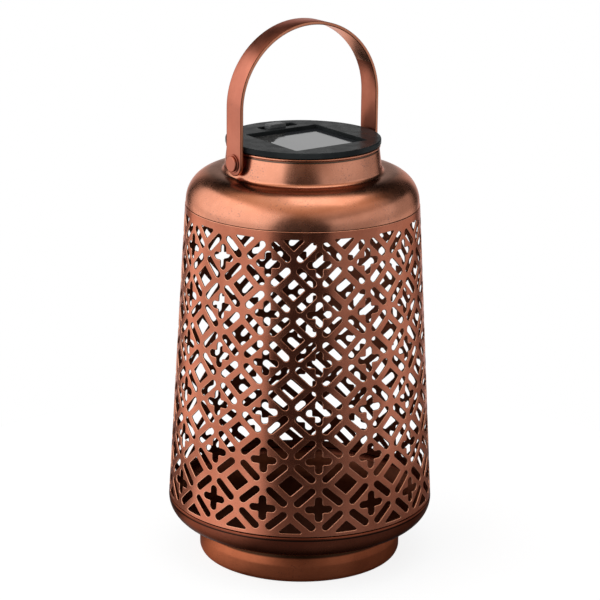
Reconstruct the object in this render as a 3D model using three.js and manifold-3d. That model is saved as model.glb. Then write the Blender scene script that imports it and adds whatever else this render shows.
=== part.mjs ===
// A solar lantern: a pierced copper body on a foot, a solar module in its neck and a strap handle.
// Millimetres, +Z up. The origin is on the table under the body's axis, and +X runs through the
// two rivets that the handle turns on.

import * as THREE from "three";
import { mergeVertices } from "three/addons/utils/BufferGeometryUtils.js";
import Module from "manifold-3d";

// Facets of a full turn on the large rounds, the housing's, the small ones and the screws
const ROUND_STEPS = 32;
const HOUSING_STEPS = 20;
const SMALL_STEPS = 12;
const SCREW_STEPS = 6;

// Clearance between two pieces that touch
const GAP = 0.3;

// Foot: a turned ring with both its rims bent inwards
const FOOT_RADIUS = 62.5;
const FOOT_HEIGHT = 18.9;
const FOOT_WAIST = 1.4;
const FOOT_WALL = 0.9;
const FOOT_RIM = 5.0;
const FOOT_EDGE = 2.2;

// Base pan: a dish that stands on the foot and closes the body below
const PAN_DEPTH = 17.8;
const PAN_WALL = 0.9;
const PAN_SEAT = 2.1;
const PAN_FULLNESS = 2.15;
const PAN_PROUD = 0.1;
const PAN_EDGE = 1.3;
const PAN_LAP = 1.9;
const PAN_STEPS = 6;

// Pierced sleeve: a cone of thin sheet
const SLEEVE_BOTTOM_RADIUS = 81.7;
const SLEEVE_TOP_RADIUS = 71.0;
const SLEEVE_WALL = 0.8;
const SLEEVE_SEAM = 0.4;

// The sleeve's pattern: crosses in columns and rows, a diamond in the middle of each four
// crosses, and a slot between each cross and diamond
const COLUMNS = 15;
const ROWS = 6;
const ROW_PITCH = 29.6;
const PATTERN_TURN = 14.1;
const MARGIN_BELOW = 2.3;
const MARGIN_ABOVE = 4.7;
const CROSS_REACH = 7.9;
const CROSS_WAIST = 2.7;
const SLOT_REACH = 6.9;
const SLOT_HALF_WIDTH = 2.1;
const DIAMOND_REACH = 7.0;
const RIM_STEPS = 4;

// Shoulder and neck: one spun piece
const SHOULDER_RISE = 20.0;
const SHOULDER_FULLNESS = 2.16;
const SHOULDER_INSET = 0.3;
const SHOULDER_WALL = 1.0;
const SHOULDER_LAP = 3.0;
const SHOULDER_FLAT = 0.8;
const SHOULDER_STEPS = 5;
const FILLET_STEPS = 2;
const NECK_TOP_RADIUS = 45.6;
const NECK_TAPER = 1.7;
const NECK_FILLET = 2.8;
const NECK_BEAD = 0.8;
const NECK_BEAD_START = -30;

// Handle: a flat strap bent to an arch, and the rivets that it turns on
const STRAP_WIDTH = 15.0;
const STRAP_THICKNESS = 2.0;
const STRAP_LEG = 32.2;
const STRAP_ARCH = 46.3;
const STRAP_STEPS = 16;
const STRAP_FLOAT = 2.6;
const PIVOT_BELOW_RIM = 6.5;
const RIVET_SHANK = 2.2;
const RIVET_HEAD = 4.85;
const RIVET_HEAD_HEIGHT = 1.2;
const RIVET_TAIL = 3.2;
const RIVET_TAIL_HEIGHT = 1.0;
const WASHER_RADIUS = 5.5;
const WASHER_THICKNESS = 0.5;
const SPACER_RADIUS = 4.0;
const SPACER_THICKNESS = 1.2;

// Lid of the solar module
const LID_THICKNESS = 3.4;
const LID_OVERHANG = 1.2;
const LID_EDGE = 0.7;
const LID_TRAY_FLOOR = 1.5;
const SPIGOT_ABOVE_RIVETS = 0.9;
const SEAL_THICKNESS = 0.7;
const SEAL_WIDTH = 1.0;

// Solar cell, sunk in a square tray that lies off the lid's middle to leave room for the switch
const CELL_SIDE = 51.4;
const CELL_THICKNESS = 1.0;
const CELL_SINK = 2.3;
const CELL_OFFSET_Y = -3.0;

// Slide switch, set in from the housing's outside
const SWITCH_X = 3.5;
const SWITCH_INSET = 10.0;
const SWITCH_RECESS_LENGTH = 26.0;
const SWITCH_RECESS_WIDTH = 7.0;
const SWITCH_RECESS_DEPTH = 1.6;
const SWITCH_TRAVEL = 3.0;
const KNOB_LENGTH = 12.0;
const KNOB_SIDE_GAP = 0.5;
const KNOB_STAND = 2.0;
const KNOB_CHAMFER = 0.8;
const STEM_LENGTH = 2.4;
const STEM_WIDTH = 2.0;
const STEM_DIP = 1.2;
const SWITCH_BODY_LENGTH = 15.0;
const SWITCH_BODY_WIDTH = 6.6;
const SWITCH_BODY_HEIGHT = 5.0;
const SWITCH_PIN_LENGTH = 3.0;
const SWITCH_PIN_WIDTH = 0.8;
const SWITCH_PIN_PITCH = 4.0;

// Housing of the module, a cup under the lid that passes between the rivets
const MODULE_CLEARANCE = 1.5;
const HOUSING_DEPTH = 24.7;
const HOUSING_WALL = 1.8;
const HOUSING_EDGE = 2.5;

// Screws that hold the housing to the lid, and their bosses
const HOUSING_SCREWS = 3;
const HOUSING_SCREW_TURN = 30;
const HOUSING_BOSS_RADIUS = 4.2;
const HOUSING_BOSS_INSET = 0.7;
const LID_BOSS_RADIUS = 3.0;
const LID_BOSS_LENGTH = 7.2;
const BOSS_WEB = 2.0;
const SCREW_SHANK = 1.2;
const SCREW_HEAD = 2.4;
const SCREW_HEAD_HEIGHT = 1.6;
const SCREW_REACH = 5.2;

// Circuit board under the lid, between the housing's bosses
const BOARD_CLEARANCE = 2.9;
const BOARD_WIDTH = 28.0;
const BOARD_THICKNESS = 1.6;
const BOARD_Y = 6.0;
const BOARD_DROP = 4.2;
const BOARD_POST_INSET = 5.0;
const BOARD_POST_RADIUS = 2.4;
const BOARD_SCREW_SHANK = 0.9;
const BOARD_SCREW_HEAD = 2.0;
const BOARD_SCREW_HEAD_HEIGHT = 1.4;
const BOARD_SCREW_REACH = 3.2;
const CHIP_LENGTH = 6.0;
const CHIP_WIDTH = 5.0;
const CHIP_HEIGHT = 1.6;
const CHIP_X = -9.0;
const COIL_RADIUS = 2.6;
const COIL_HEIGHT = 3.0;
const COIL_X = 10.0;

// Battery, a rechargeable AAA cell beside the dome, and its contacts
const BATTERY_RADIUS = 5.25;
const BATTERY_LENGTH = 44.5;
const BATTERY_NUB_RADIUS = 1.9;
const BATTERY_NUB_HEIGHT = 1.0;
const BATTERY_CLEARANCE = 1.9;
const BATTERY_FLOAT = 0.5;
const CONTACT_THICKNESS = 0.5;
const CONTACT_WIDTH = 7.0;
const CONTACT_HEIGHT = 8.0;
const SPRING_STROKE = 2.6;
const END_WALL = 1.6;
const END_WALL_WIDTH = 10.0;

// Battery door in the housing's floor
const DOOR_THICKNESS = 0.8;
const DOOR_LEDGE = 1.6;
const DOOR_PLAY = 0.5;
const DOOR_EAR_RADIUS = 3.2;
const DOOR_BOSS_RADIUS = 2.8;
const DOOR_BOSS_HEIGHT = 8.0;
const DOOR_SCREW_REACH = 6.0;
const DOOR_SCREW_HEAD_HEIGHT = 1.2;

// Lamp and its frosted dome
const LED_RADIUS = 2.5;
const LED_LENGTH = 8.6;
const LED_FLANGE = 0.4;
const LED_FLANGE_HEIGHT = 1.0;
const LED_LEAD = 0.5;
const LED_LEAD_PITCH = 2.54;
const LED_ABOVE_FLOOR = 7.0;
const DOME_RADIUS = 9.0;
const DOME_DROP = 7.0;
const DOME_WALL = 1.2;
const DOME_FLANGE = 2.0;
const DOME_FLANGE_HEIGHT = 1.2;
const DOME_STEPS = 3;

// Finishes
const finish = (color, roughness, metalness) =>
  new THREE.MeshStandardMaterial({ color, roughness, metalness });
const COPPER = finish(0xb8714f, 0.36, 1.0);
const DARK_COPPER = finish(0x7d4433, 0.42, 1.0);
const CHARCOAL = finish(0x2c2f31, 0.55, 0.0);
const CELL_GREY = finish(0x6f7377, 0.22, 0.2);
const RUBBER = finish(0x151515, 0.8, 0.0);
const STEEL = finish(0x9a9da0, 0.35, 1.0);
const BOARD_GREEN = finish(0x1f5a3a, 0.5, 0.0);
const BATTERY_GREEN = finish(0x3f7a55, 0.4, 0.1);
const FROSTED = finish(0xeef0ea, 0.35, 0.0);

// Corners closer than this are one corner, and lengths and areas closer than this are equal
const WELD = 1e-3;
const TOLERANCE = 1e-6;

const wasm = await Module();
wasm.setup();

const degrees = THREE.MathUtils.degToRad;
const point = (x, y) => new THREE.Vector2(x, y);

// How far the flats of a faceted round hole lie from its axis
const flats = (radius, steps) => radius * Math.cos(Math.PI / steps);

// Points on an ellipse's arc, from one angle to another. A fullness above 2 swells the arc
// towards the corners of the ellipse's box.
function arc(centre, radiusX, radiusY, from, to, steps, fullness = 2) {
  const swollen = (share) => Math.sign(share) * Math.abs(share) ** (2 / fullness);
  return Array.from({ length: steps + 1 }, (_, i) => {
    const angle = degrees(from + ((to - from) * i) / steps);
    const x = radiusX * swollen(Math.cos(angle));
    const y = radiusY * swollen(Math.sin(angle));
    return point(centre.x + x, centre.y + y);
  });
}

// The closed outline of a bent sheet. The path is its right-hand face and the wall lies to the
// left; the tip, if any, rounds the path's far end.
function sheetOutline(path, wall, tip = []) {
  const leftOf = (a, b) => point(a.y - b.y, b.x - a.x).normalize();
  const offset = path.map((corner, i) => {
    const before = i > 0 ? [leftOf(path[i - 1], corner)] : [];
    const after = i < path.length - 1 ? [leftOf(corner, path[i + 1])] : [];
    const sides = [...before, ...after];
    const mitre = sides.reduce((sum, side) => sum.add(side), point(0, 0)).normalize();
    return corner.clone().addScaledVector(mitre, wall / mitre.dot(sides[0]));
  });
  return [...path, ...tip, ...offset.reverse()];
}

// A geometry with positions only, its shared corners merged and its collapsed faces left out
function welded(geometry) {
  const bare = geometry.clone();
  bare.deleteAttribute("normal");
  bare.deleteAttribute("uv");
  const merged = mergeVertices(bare, WELD);
  const corners = [];
  for (let i = 0; i < merged.index.count; i += 3) {
    const face = [0, 1, 2].map((k) => merged.index.getX(i + k));
    if (new Set(face).size === 3) {
      corners.push(...face);
    }
  }
  merged.setIndex(corners);
  return merged;
}

function solidOf(geometry) {
  const closed = welded(geometry);
  return new wasm.Manifold(
    new wasm.Mesh({
      numProp: 3,
      vertProperties: closed.attributes.position.array,
      triVerts: new Uint32Array(closed.index.array),
    }),
  );
}

function geometryOf(solid) {
  const { vertProperties, numProp, triVerts } = solid.getMesh();
  const positions = new Float32Array((vertProperties.length / numProp) * 3);
  for (let i = 0; i < positions.length; i += 1) {
    positions[i] = vertProperties[Math.floor(i / 3) * numProp + (i % 3)];
  }
  return new THREE.BufferGeometry()
    .setAttribute("position", new THREE.BufferAttribute(positions, 3))
    .setIndex(Array.from(triVerts));
}

// One body with others joined to it and then others cut from it
function built(body, joined = [], cut = []) {
  let solid = solidOf(body);
  for (const geometry of joined) {
    solid = solid.add(solidOf(geometry));
  }
  for (const geometry of cut) {
    solid = solid.subtract(solidOf(geometry));
  }
  return geometryOf(solid);
}

// A round piece about Z from its outline of radius and height
function turned(outline, steps) {
  const loop = THREE.ShapeUtils.isClockWise(outline) ? [...outline].reverse() : [...outline];
  const closing = loop[0].x > 0 ? [loop[0].clone()] : [];
  return new THREE.LatheGeometry([...loop, ...closing], steps).rotateX(Math.PI / 2);
}

function ring(innerRadius, outerRadius, bottom, top, steps) {
  const outline = [
    point(innerRadius, bottom),
    point(outerRadius, bottom),
    point(outerRadius, top),
    point(innerRadius, top),
  ];
  return turned(outline, steps);
}

function rod(radius, x, y, bottom, top, steps) {
  return new THREE.CylinderGeometry(radius, radius, top - bottom, steps)
    .rotateX(Math.PI / 2)
    .translate(x, y, (bottom + top) / 2);
}

function block(x, y, length, width, bottom, top) {
  return new THREE.BoxGeometry(length, width, top - bottom).translate(x, y, (bottom + top) / 2);
}

// A flat plate of any outline, from one height to another
function plate(outline, bottom, top) {
  return new THREE.ExtrudeGeometry(new THREE.Shape(outline), {
    depth: top - bottom,
    bevelEnabled: false,
  }).translate(0, 0, bottom);
}

// A shape drawn in X and Z and extruded along Y, centred on the given Y
function extrudedAcross(outline, width, y) {
  return new THREE.ExtrudeGeometry(new THREE.Shape(outline), { depth: width, bevelEnabled: false })
    .translate(0, 0, -width / 2)
    .rotateX(Math.PI / 2)
    .translate(0, y, 0);
}

// Heights of the main pieces, stacked from the table up
const panBottom = FOOT_HEIGHT + GAP;
const panTop = panBottom + PAN_DEPTH;
const sleeveBottom = panTop + SLEEVE_SEAM;
const sleeveHeight = MARGIN_BELOW + ROWS * ROW_PITCH + MARGIN_ABOVE;
const sleeveTop = sleeveBottom + sleeveHeight;
const shoulderBottom = sleeveTop + GAP;
const shoulderTop = shoulderBottom + SHOULDER_RISE;
const pivotZ = shoulderTop + STRAP_FLOAT + STRAP_WIDTH / 2;
const neckTop = pivotZ + PIVOT_BELOW_RIM;
const lidBottom = neckTop + GAP;
const grooveTop = lidBottom + SEAL_THICKNESS + GAP;
const lidTop = lidBottom + LID_THICKNESS;
const trayFloor = lidTop - CELL_SINK - CELL_THICKNESS - GAP;
const lidUnderside = trayFloor - LID_TRAY_FLOOR;
const spigotBottom = pivotZ + RIVET_TAIL + SPIGOT_ABOVE_RIVETS;
const housingTop = Math.min(spigotBottom, lidUnderside) - GAP;
const housingBottom = housingTop - HOUSING_DEPTH;
const housingFloor = housingBottom + HOUSING_WALL;

// The sleeve's outer radius at a height, and the neck's
function sleeveRadius(z) {
  const share = (z - sleeveBottom) / sleeveHeight;
  return THREE.MathUtils.lerp(SLEEVE_BOTTOM_RADIUS, SLEEVE_TOP_RADIUS, share);
}
const neckBase = shoulderTop + NECK_FILLET;
const neckBaseRadius = NECK_TOP_RADIUS + NECK_TAPER;
function neckRadius(z) {
  const share = (z - neckBase) / (neckTop - NECK_BEAD - neckBase);
  return THREE.MathUtils.lerp(neckBaseRadius, NECK_TOP_RADIUS, share);
}

// Stations along X on the rivet's axis, from inside the neck outwards. The spacer clears the
// neck's widest part behind it, and the tail its narrowest.
const tailFace = flats(neckRadius(pivotZ + RIVET_TAIL) - SHOULDER_WALL, ROUND_STEPS) - GAP;
const spacerFace = neckRadius(pivotZ - SPACER_RADIUS) + GAP;
const strapInside = spacerFace + SPACER_THICKNESS + GAP;
const strapOutside = strapInside + STRAP_THICKNESS;
const washerFace = strapOutside + GAP;
const headFace = washerFace + WASHER_THICKNESS + GAP;

// The module drops in between the rivets' tails
const housingRadius = tailFace - RIVET_TAIL_HEIGHT - MODULE_CLEARANCE;
const switchY = housingRadius - SWITCH_INSET;
const screwCircle = housingRadius - HOUSING_WALL - HOUSING_BOSS_RADIUS - HOUSING_BOSS_INSET;
const batteryY = -(DOME_RADIUS + DOME_FLANGE + BATTERY_CLEARANCE + BATTERY_RADIUS);

// The pattern is drawn at the sleeve's middle radius
const patternRadius = (SLEEVE_BOTTOM_RADIUS + SLEEVE_TOP_RADIUS) / 2;
const halfColumn = (Math.PI * patternRadius) / COLUMNS;
const halfRow = ROW_PITCH / 2;

// The radius of a lap that fits inside the sleeve up to a height. It clears the sleeve's widest
// flats there, which are as wide as a diamond or a step of the rim.
function lapRadius(z) {
  const halfFlat = Math.max(DIAMOND_REACH, halfColumn / RIM_STEPS) / patternRadius;
  return (sleeveRadius(z) - SLEEVE_WALL) * Math.cos(halfFlat) - GAP;
}

function footRing() {
  const topRadius = FOOT_RADIUS - FOOT_WAIST;
  const path = [
    point(FOOT_RADIUS - FOOT_EDGE - FOOT_RIM, 0),
    point(FOOT_RADIUS - FOOT_EDGE, 0),
    point(FOOT_RADIUS, FOOT_EDGE),
    point(FOOT_RADIUS, FOOT_HEIGHT / 2),
    point(topRadius, FOOT_HEIGHT),
    point(topRadius - FOOT_RIM, FOOT_HEIGHT),
  ];
  return turned(sheetOutline(path, FOOT_WALL), ROUND_STEPS);
}

// The pan's floor is flat over the foot, then sweeps up to a rolled edge and a lap in the sleeve
function basePan() {
  const floorRadius = FOOT_RADIUS - FOOT_WAIST - PAN_SEAT;
  const radius = SLEEVE_BOTTOM_RADIUS + PAN_PROUD;
  const edgeBottom = panTop - PAN_EDGE;
  const lapTop = sleeveBottom + PAN_LAP;
  const sweep = arc(
    point(floorRadius, edgeBottom),
    radius - floorRadius,
    edgeBottom - panBottom,
    -90,
    0,
    PAN_STEPS,
    PAN_FULLNESS,
  );
  const path = [
    point(0, panBottom),
    ...sweep,
    point(radius - PAN_EDGE, panTop),
    point(lapRadius(lapTop), panTop),
    point(lapRadius(lapTop), lapTop),
  ];
  return turned(sheetOutline(path, PAN_WALL), ROUND_STEPS);
}

// The pierced sleeve is made from one strip of the pattern, a column wide. The strip is drawn
// flat, across and up, with its edges through the crosses' tips; each copy is rolled to the cone.
const crossHeight = (row) => MARGIN_BELOW + (row + 0.5) * ROW_PITCH;

// Half a cross beside the strip's edge, listed upwards; the side is +1 on the right, -1 on the left
function halfCross(side, row) {
  const edge = side * halfColumn;
  const middle = crossHeight(row);
  return [
    point(edge, middle - CROSS_REACH),
    point(edge - side * CROSS_WAIST, middle - CROSS_WAIST),
    point(edge - side * CROSS_REACH, middle),
    point(edge - side * CROSS_WAIST, middle + CROSS_WAIST),
    point(edge, middle + CROSS_REACH),
  ];
}

function stripOutline() {
  const rows = Array.from({ length: ROWS }, (_, row) => row);
  const across = Array.from({ length: RIM_STEPS + 1 }, (_, i) => halfColumn * ((2 * i) / RIM_STEPS - 1));
  return [
    ...across.map((u) => point(u, 0)),
    ...rows.flatMap((row) => halfCross(1, row)),
    ...across.map((u) => point(-u, sleeveHeight)),
    ...rows.flatMap((row) => halfCross(-1, row)).reverse(),
  ];
}

// The diamond has the lattice's own proportions, and is cut to half at the strip's two ends
function diamond(row) {
  const middle = MARGIN_BELOW + row * ROW_PITCH;
  const reachUp = (DIAMOND_REACH * halfRow) / halfColumn;
  const top = row < ROWS ? [point(0, middle + reachUp)] : [];
  const bottom = row > 0 ? [point(0, middle - reachUp)] : [];
  return [point(DIAMOND_REACH, middle), ...top, point(-DIAMOND_REACH, middle), ...bottom];
}

// A slot lies half way from a diamond to a cross, along the lattice's other diagonal
function slot(row, sideX, sideY) {
  const centre = point((sideX * halfColumn) / 2, MARGIN_BELOW + row * ROW_PITCH + (sideY * halfRow) / 2);
  const along = point(-sideX * halfColumn, sideY * halfRow).setLength(SLOT_REACH);
  const across = point(-along.y, along.x).setLength(SLOT_HALF_WIDTH);
  const corner = (a, b) => centre.clone().addScaledVector(along, a).addScaledVector(across, b);
  return [corner(1, 1), corner(-1, 1), corner(-1, -1), corner(1, -1)];
}

function stripHoles() {
  const holes = [];
  for (let row = 0; row <= ROWS; row += 1) {
    holes.push(diamond(row));
    if (row > 0) {
      holes.push(slot(row, -1, -1), slot(row, 1, -1));
    }
    if (row < ROWS) {
      holes.push(slot(row, -1, 1), slot(row, 1, 1));
    }
  }
  return holes;
}

const edgeName = (a, b) => `${Math.min(a, b)} ${Math.max(a, b)}`;

// Twice a triangle's area, positive where its corners run anticlockwise
const doubleArea = (p, q, r) => (q.x - p.x) * (r.y - p.y) - (q.y - p.y) * (r.x - p.x);

// Whether two faces, a b c and b a d, are better split from c to d
function isBetterSplit(a, b, c, d) {
  const shorter = c.distanceTo(d) < a.distanceTo(b) - TOLERANCE;
  return shorter && doubleArea(c, a, d) > TOLERANCE && doubleArea(d, b, c) > TOLERANCE;
}

// Splits one pair of faces the better way, and says whether there was one
function splitOnePair(points, faces, fixed) {
  const seen = new Map();
  for (const [number, face] of faces.entries()) {
    for (let k = 0; k < 3; k += 1) {
      const [a, b, c] = [face[k], face[(k + 1) % 3], face[(k + 2) % 3]];
      const edge = edgeName(a, b);
      const other = seen.get(edge);
      const d = other?.opposite;
      if (other && !fixed.has(edge) && isBetterSplit(points[a], points[b], points[c], points[d])) {
        faces[number] = [c, a, d];
        faces[other.number] = [d, b, c];
        return true;
      }
      seen.set(edge, { number, opposite: c });
    }
  }
  return false;
}

// Turns each inner edge to the shorter way across its two faces, so that none spans a wide angle
// of the rolled sheet. The loops' own edges stay.
function withShortEdges(points, faces, loops) {
  const fixed = new Set();
  let first = 0;
  for (const loop of loops) {
    const start = first;
    loop.forEach((_, i) => fixed.add(edgeName(start + i, start + ((i + 1) % loop.length))));
    first += loop.length;
  }
  let improved = true;
  while (improved) {
    improved = splitOnePair(points, faces, fixed);
  }
  return faces;
}

function perforatedSleeve() {
  const loops = [stripOutline(), ...stripHoles()];
  const flat = loops.flat();
  const filled = THREE.ShapeUtils.triangulateShape(loops[0], loops.slice(1));
  const faces = withShortEdges(flat, filled, loops);
  const positions = [];

  // A point of the strip, rolled to the cone. A right-hand edge is the next column's left one.
  const rolled = (column, { corner, inset }) => {
    const onRight = corner.x >= halfColumn - TOLERANCE;
    const turn = onRight ? column + 1 : column;
    const u = onRight ? -halfColumn : corner.x;
    const angle = degrees(PATTERN_TURN + ((turn % COLUMNS) * 360) / COLUMNS) + u / patternRadius;
    const z = sleeveBottom + corner.y;
    const radius = sleeveRadius(z) - inset;
    return [radius * Math.cos(angle), radius * Math.sin(angle), z];
  };
  const outer = (corner) => ({ corner, inset: 0 });
  const inner = (corner) => ({ corner, inset: SLEEVE_WALL });
  const addFace = (column, ...corners) => {
    positions.push(...corners.flatMap((corner) => rolled(column, corner)));
  };
  const isSeam = (a, b) => a.x === b.x && Math.abs(a.x) >= halfColumn - TOLERANCE;

  for (let column = 0; column < COLUMNS; column += 1) {
    for (const face of faces) {
      const [a, b, c] = face.map((i) => flat[i]);
      addFace(column, outer(a), outer(b), outer(c));
      addFace(column, inner(a), inner(c), inner(b));
    }
    for (const [number, loop] of loops.entries()) {
      const clockwise = THREE.ShapeUtils.isClockWise(loop);
      const solidOnLeft = (number === 0) !== clockwise;
      const sides = loop.map((start, i) => [start, loop[(i + 1) % loop.length]]);
      for (const [start, end] of sides.filter(([start, end]) => !isSeam(start, end))) {
        const [a, b] = solidOnLeft ? [start, end] : [end, start];
        addFace(column, outer(a), inner(a), inner(b));
        addFace(column, outer(a), inner(b), outer(b));
      }
    }
  }
  const sheet = new THREE.BufferGeometry();
  sheet.setAttribute("position", new THREE.Float32BufferAttribute(positions, 3));
  return welded(sheet);
}

// The shoulder laps inside the sleeve, rises in a quarter of an ellipse and turns up to the neck
function shoulderNeck() {
  const radius = SLEEVE_TOP_RADIUS - SHOULDER_INSET;
  const crownRadius = neckBaseRadius + NECK_FILLET + SHOULDER_FLAT;
  const crown = point(crownRadius, shoulderBottom);
  const bulge = radius - crownRadius;
  const filletCentre = point(neckBaseRadius + NECK_FILLET, neckBase);
  const beadCentre = point(NECK_TOP_RADIUS, neckTop - NECK_BEAD);
  const lap = lapRadius(sleeveTop);
  const path = [
    point(lap, sleeveTop - SHOULDER_LAP),
    point(lap, shoulderBottom),
    ...arc(crown, bulge, SHOULDER_RISE, 0, 90, SHOULDER_STEPS, SHOULDER_FULLNESS),
    ...arc(filletCentre, NECK_FILLET, NECK_FILLET, 270, 180, FILLET_STEPS),
    point(NECK_TOP_RADIUS, neckTop - 2 * NECK_BEAD),
  ];
  const bead = arc(beadCentre, NECK_BEAD, NECK_BEAD, NECK_BEAD_START, 90, FILLET_STEPS);
  const bores = [0, Math.PI].map((turn) => {
    const bore = rod(RIVET_SHANK + GAP, 0, 0, neckRadius(pivotZ) / 2, crownRadius, SMALL_STEPS);
    return bore.rotateY(Math.PI / 2).rotateZ(turn).translate(0, 0, pivotZ);
  });
  const spun = turned(sheetOutline(path, SHOULDER_WALL, bead), ROUND_STEPS);
  return built(spun, [], bores);
}

// A part turned about the rivet's axis on the side where X grows, or turned round to the other
function onPivot(geometry, side) {
  return geometry
    .rotateY(Math.PI / 2)
    .rotateZ(side > 0 ? 0 : Math.PI)
    .translate(0, 0, pivotZ);
}

function handleStrap() {
  const archZ = pivotZ + STRAP_LEG;
  const legFoot = pivotZ - STRAP_WIDTH / 2;
  const band = (reach, rise) => [
    point(reach, legFoot),
    ...arc(point(0, archZ), reach, rise, 0, 180, STRAP_STEPS),
    point(-reach, legFoot),
  ];
  const outline = [
    ...band(strapOutside, STRAP_ARCH + STRAP_THICKNESS),
    ...band(strapInside, STRAP_ARCH).reverse(),
  ];
  const strip = extrudedAcross(outline, STRAP_WIDTH, 0);
  const top = archZ + STRAP_ARCH + STRAP_THICKNESS + GAP;
  const half = STRAP_WIDTH / 2;
  const roundFoot = [
    point(top, half),
    ...arc(point(pivotZ, 0), half, half, 90, 270, SMALL_STEPS / 2),
    point(top, -half),
  ];
  const envelope = plate(roundFoot, -strapOutside - GAP, strapOutside + GAP).rotateY(-Math.PI / 2);
  const bore = rod(RIVET_SHANK + GAP, 0, 0, -strapOutside - GAP, strapOutside + GAP, SMALL_STEPS);
  const trimmed = solidOf(strip).intersect(solidOf(envelope));
  return geometryOf(trimmed.subtract(solidOf(onPivot(bore, 1))));
}

function handleRivet(side) {
  const rounding = RIVET_HEAD_HEIGHT / 4;
  const headTop = headFace + RIVET_HEAD_HEIGHT;
  const outline = [
    point(0, tailFace - RIVET_TAIL_HEIGHT),
    point(RIVET_TAIL, tailFace - RIVET_TAIL_HEIGHT),
    point(RIVET_TAIL, tailFace),
    point(RIVET_SHANK, tailFace),
    point(RIVET_SHANK, headFace),
    point(RIVET_HEAD, headFace),
    point(RIVET_HEAD, headTop - rounding),
    point(RIVET_HEAD - rounding, headTop),
    point(0, headTop),
  ];
  return onPivot(turned(outline, SMALL_STEPS), side);
}

function handleWasher(side) {
  const bore = RIVET_SHANK + GAP;
  const outerFace = washerFace + WASHER_THICKNESS;
  return onPivot(ring(bore, WASHER_RADIUS, washerFace, outerFace, SMALL_STEPS), side);
}

function handleSpacer(side) {
  const bore = RIVET_SHANK + GAP;
  const outerFace = spacerFace + SPACER_THICKNESS;
  return onPivot(ring(bore, SPACER_RADIUS, spacerFace, outerFace, SMALL_STEPS), side);
}

// Where the screws between lid and housing stand
const housingScrewPlaces = Array.from({ length: HOUSING_SCREWS }, (_, i) => {
  const angle = degrees(HOUSING_SCREW_TURN + (i * 360) / HOUSING_SCREWS);
  return point(screwCircle * Math.cos(angle), screwCircle * Math.sin(angle));
});
const boardHalf = housingScrewPlaces[0].x - HOUSING_BOSS_RADIUS - BOARD_CLEARANCE;
const boardPostX = boardHalf - BOARD_POST_INSET;
const boardPostPlaces = [point(-boardPostX, BOARD_Y), point(boardPostX, BOARD_Y)];
const lidBossBottom = lidUnderside - LID_BOSS_LENGTH;
const housingBossTop = lidBossBottom - GAP;
const screwSeat = housingBossTop - BOSS_WEB;
const boardTop = lidUnderside - BOARD_DROP;
const boardBottom = boardTop - BOARD_THICKNESS;

const spigotRadius = flats(NECK_TOP_RADIUS - SHOULDER_WALL, ROUND_STEPS) - GAP;
const sealInside = spigotRadius + 2 * GAP;
const grooveRadius = sealInside + SEAL_WIDTH + GAP;
const knobX = SWITCH_X - SWITCH_TRAVEL / 2;
const recessFloor = lidTop - SWITCH_RECESS_DEPTH;
const stemRoom = STEM_LENGTH + SWITCH_TRAVEL + 2 * GAP;

// The lid is a disc with a spigot, a groove for the seal, a square tray for the cell, a recess and
// slot for the switch, bosses for the housing's screws and posts for the board
function solarLid() {
  const radius = NECK_TOP_RADIUS + LID_OVERHANG;
  const edge = Math.min(LID_EDGE, radius - grooveRadius);
  const disc = turned(
    [
      point(0, lidUnderside),
      point(housingRadius - HOUSING_WALL, lidUnderside),
      point(housingRadius - HOUSING_WALL, spigotBottom),
      point(spigotRadius, spigotBottom),
      point(spigotRadius, grooveTop),
      point(grooveRadius, grooveTop),
      point(grooveRadius, lidBottom),
      point(radius - edge, lidBottom),
      point(radius, lidBottom + edge),
      point(radius, lidTop - edge),
      point(radius - edge, lidTop),
      point(0, lidTop),
    ],
    ROUND_STEPS,
  );
  const rootZ = lidUnderside + LID_TRAY_FLOOR / 2;
  const bosses = housingScrewPlaces.map(({ x, y }) =>
    rod(LID_BOSS_RADIUS, x, y, lidBossBottom, rootZ, SMALL_STEPS),
  );
  const posts = boardPostPlaces.map(({ x, y }) =>
    rod(BOARD_POST_RADIUS, x, y, boardTop + GAP, rootZ, SMALL_STEPS),
  );
  const pilots = [
    ...housingScrewPlaces.map(({ x, y }) =>
      rod(SCREW_SHANK + GAP, x, y, lidBossBottom - GAP, housingBossTop + SCREW_REACH + 2 * GAP, SCREW_STEPS),
    ),
    ...boardPostPlaces.map(({ x, y }) =>
      rod(BOARD_SCREW_SHANK + GAP, x, y, boardTop, boardTop + BOARD_SCREW_REACH + GAP, SCREW_STEPS),
    ),
  ];
  const traySide = CELL_SIDE + 2 * GAP;
  const above = lidTop + GAP;
  const tray = block(0, CELL_OFFSET_Y, traySide, traySide, trayFloor, above);
  const recess = block(SWITCH_X, switchY, SWITCH_RECESS_LENGTH, SWITCH_RECESS_WIDTH, recessFloor, above);
  const stemSlot = block(SWITCH_X, switchY, stemRoom, STEM_WIDTH + 2 * GAP, lidUnderside - GAP, above);
  return built(disc, [...bosses, ...posts], [tray, recess, stemSlot, ...pilots]);
}

function solarCell() {
  const bottom = trayFloor + GAP;
  return block(0, CELL_OFFSET_Y, CELL_SIDE, CELL_SIDE, bottom, bottom + CELL_THICKNESS);
}

// The seal lies in the lid's groove, flush with the lid's underside
function sealingRing() {
  const outside = sealInside + SEAL_WIDTH;
  return ring(sealInside, outside, lidBottom, lidBottom + SEAL_THICKNESS, ROUND_STEPS);
}

const switchBodyTop = lidUnderside - GAP;
const stemBottom = switchBodyTop - STEM_DIP;

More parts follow.
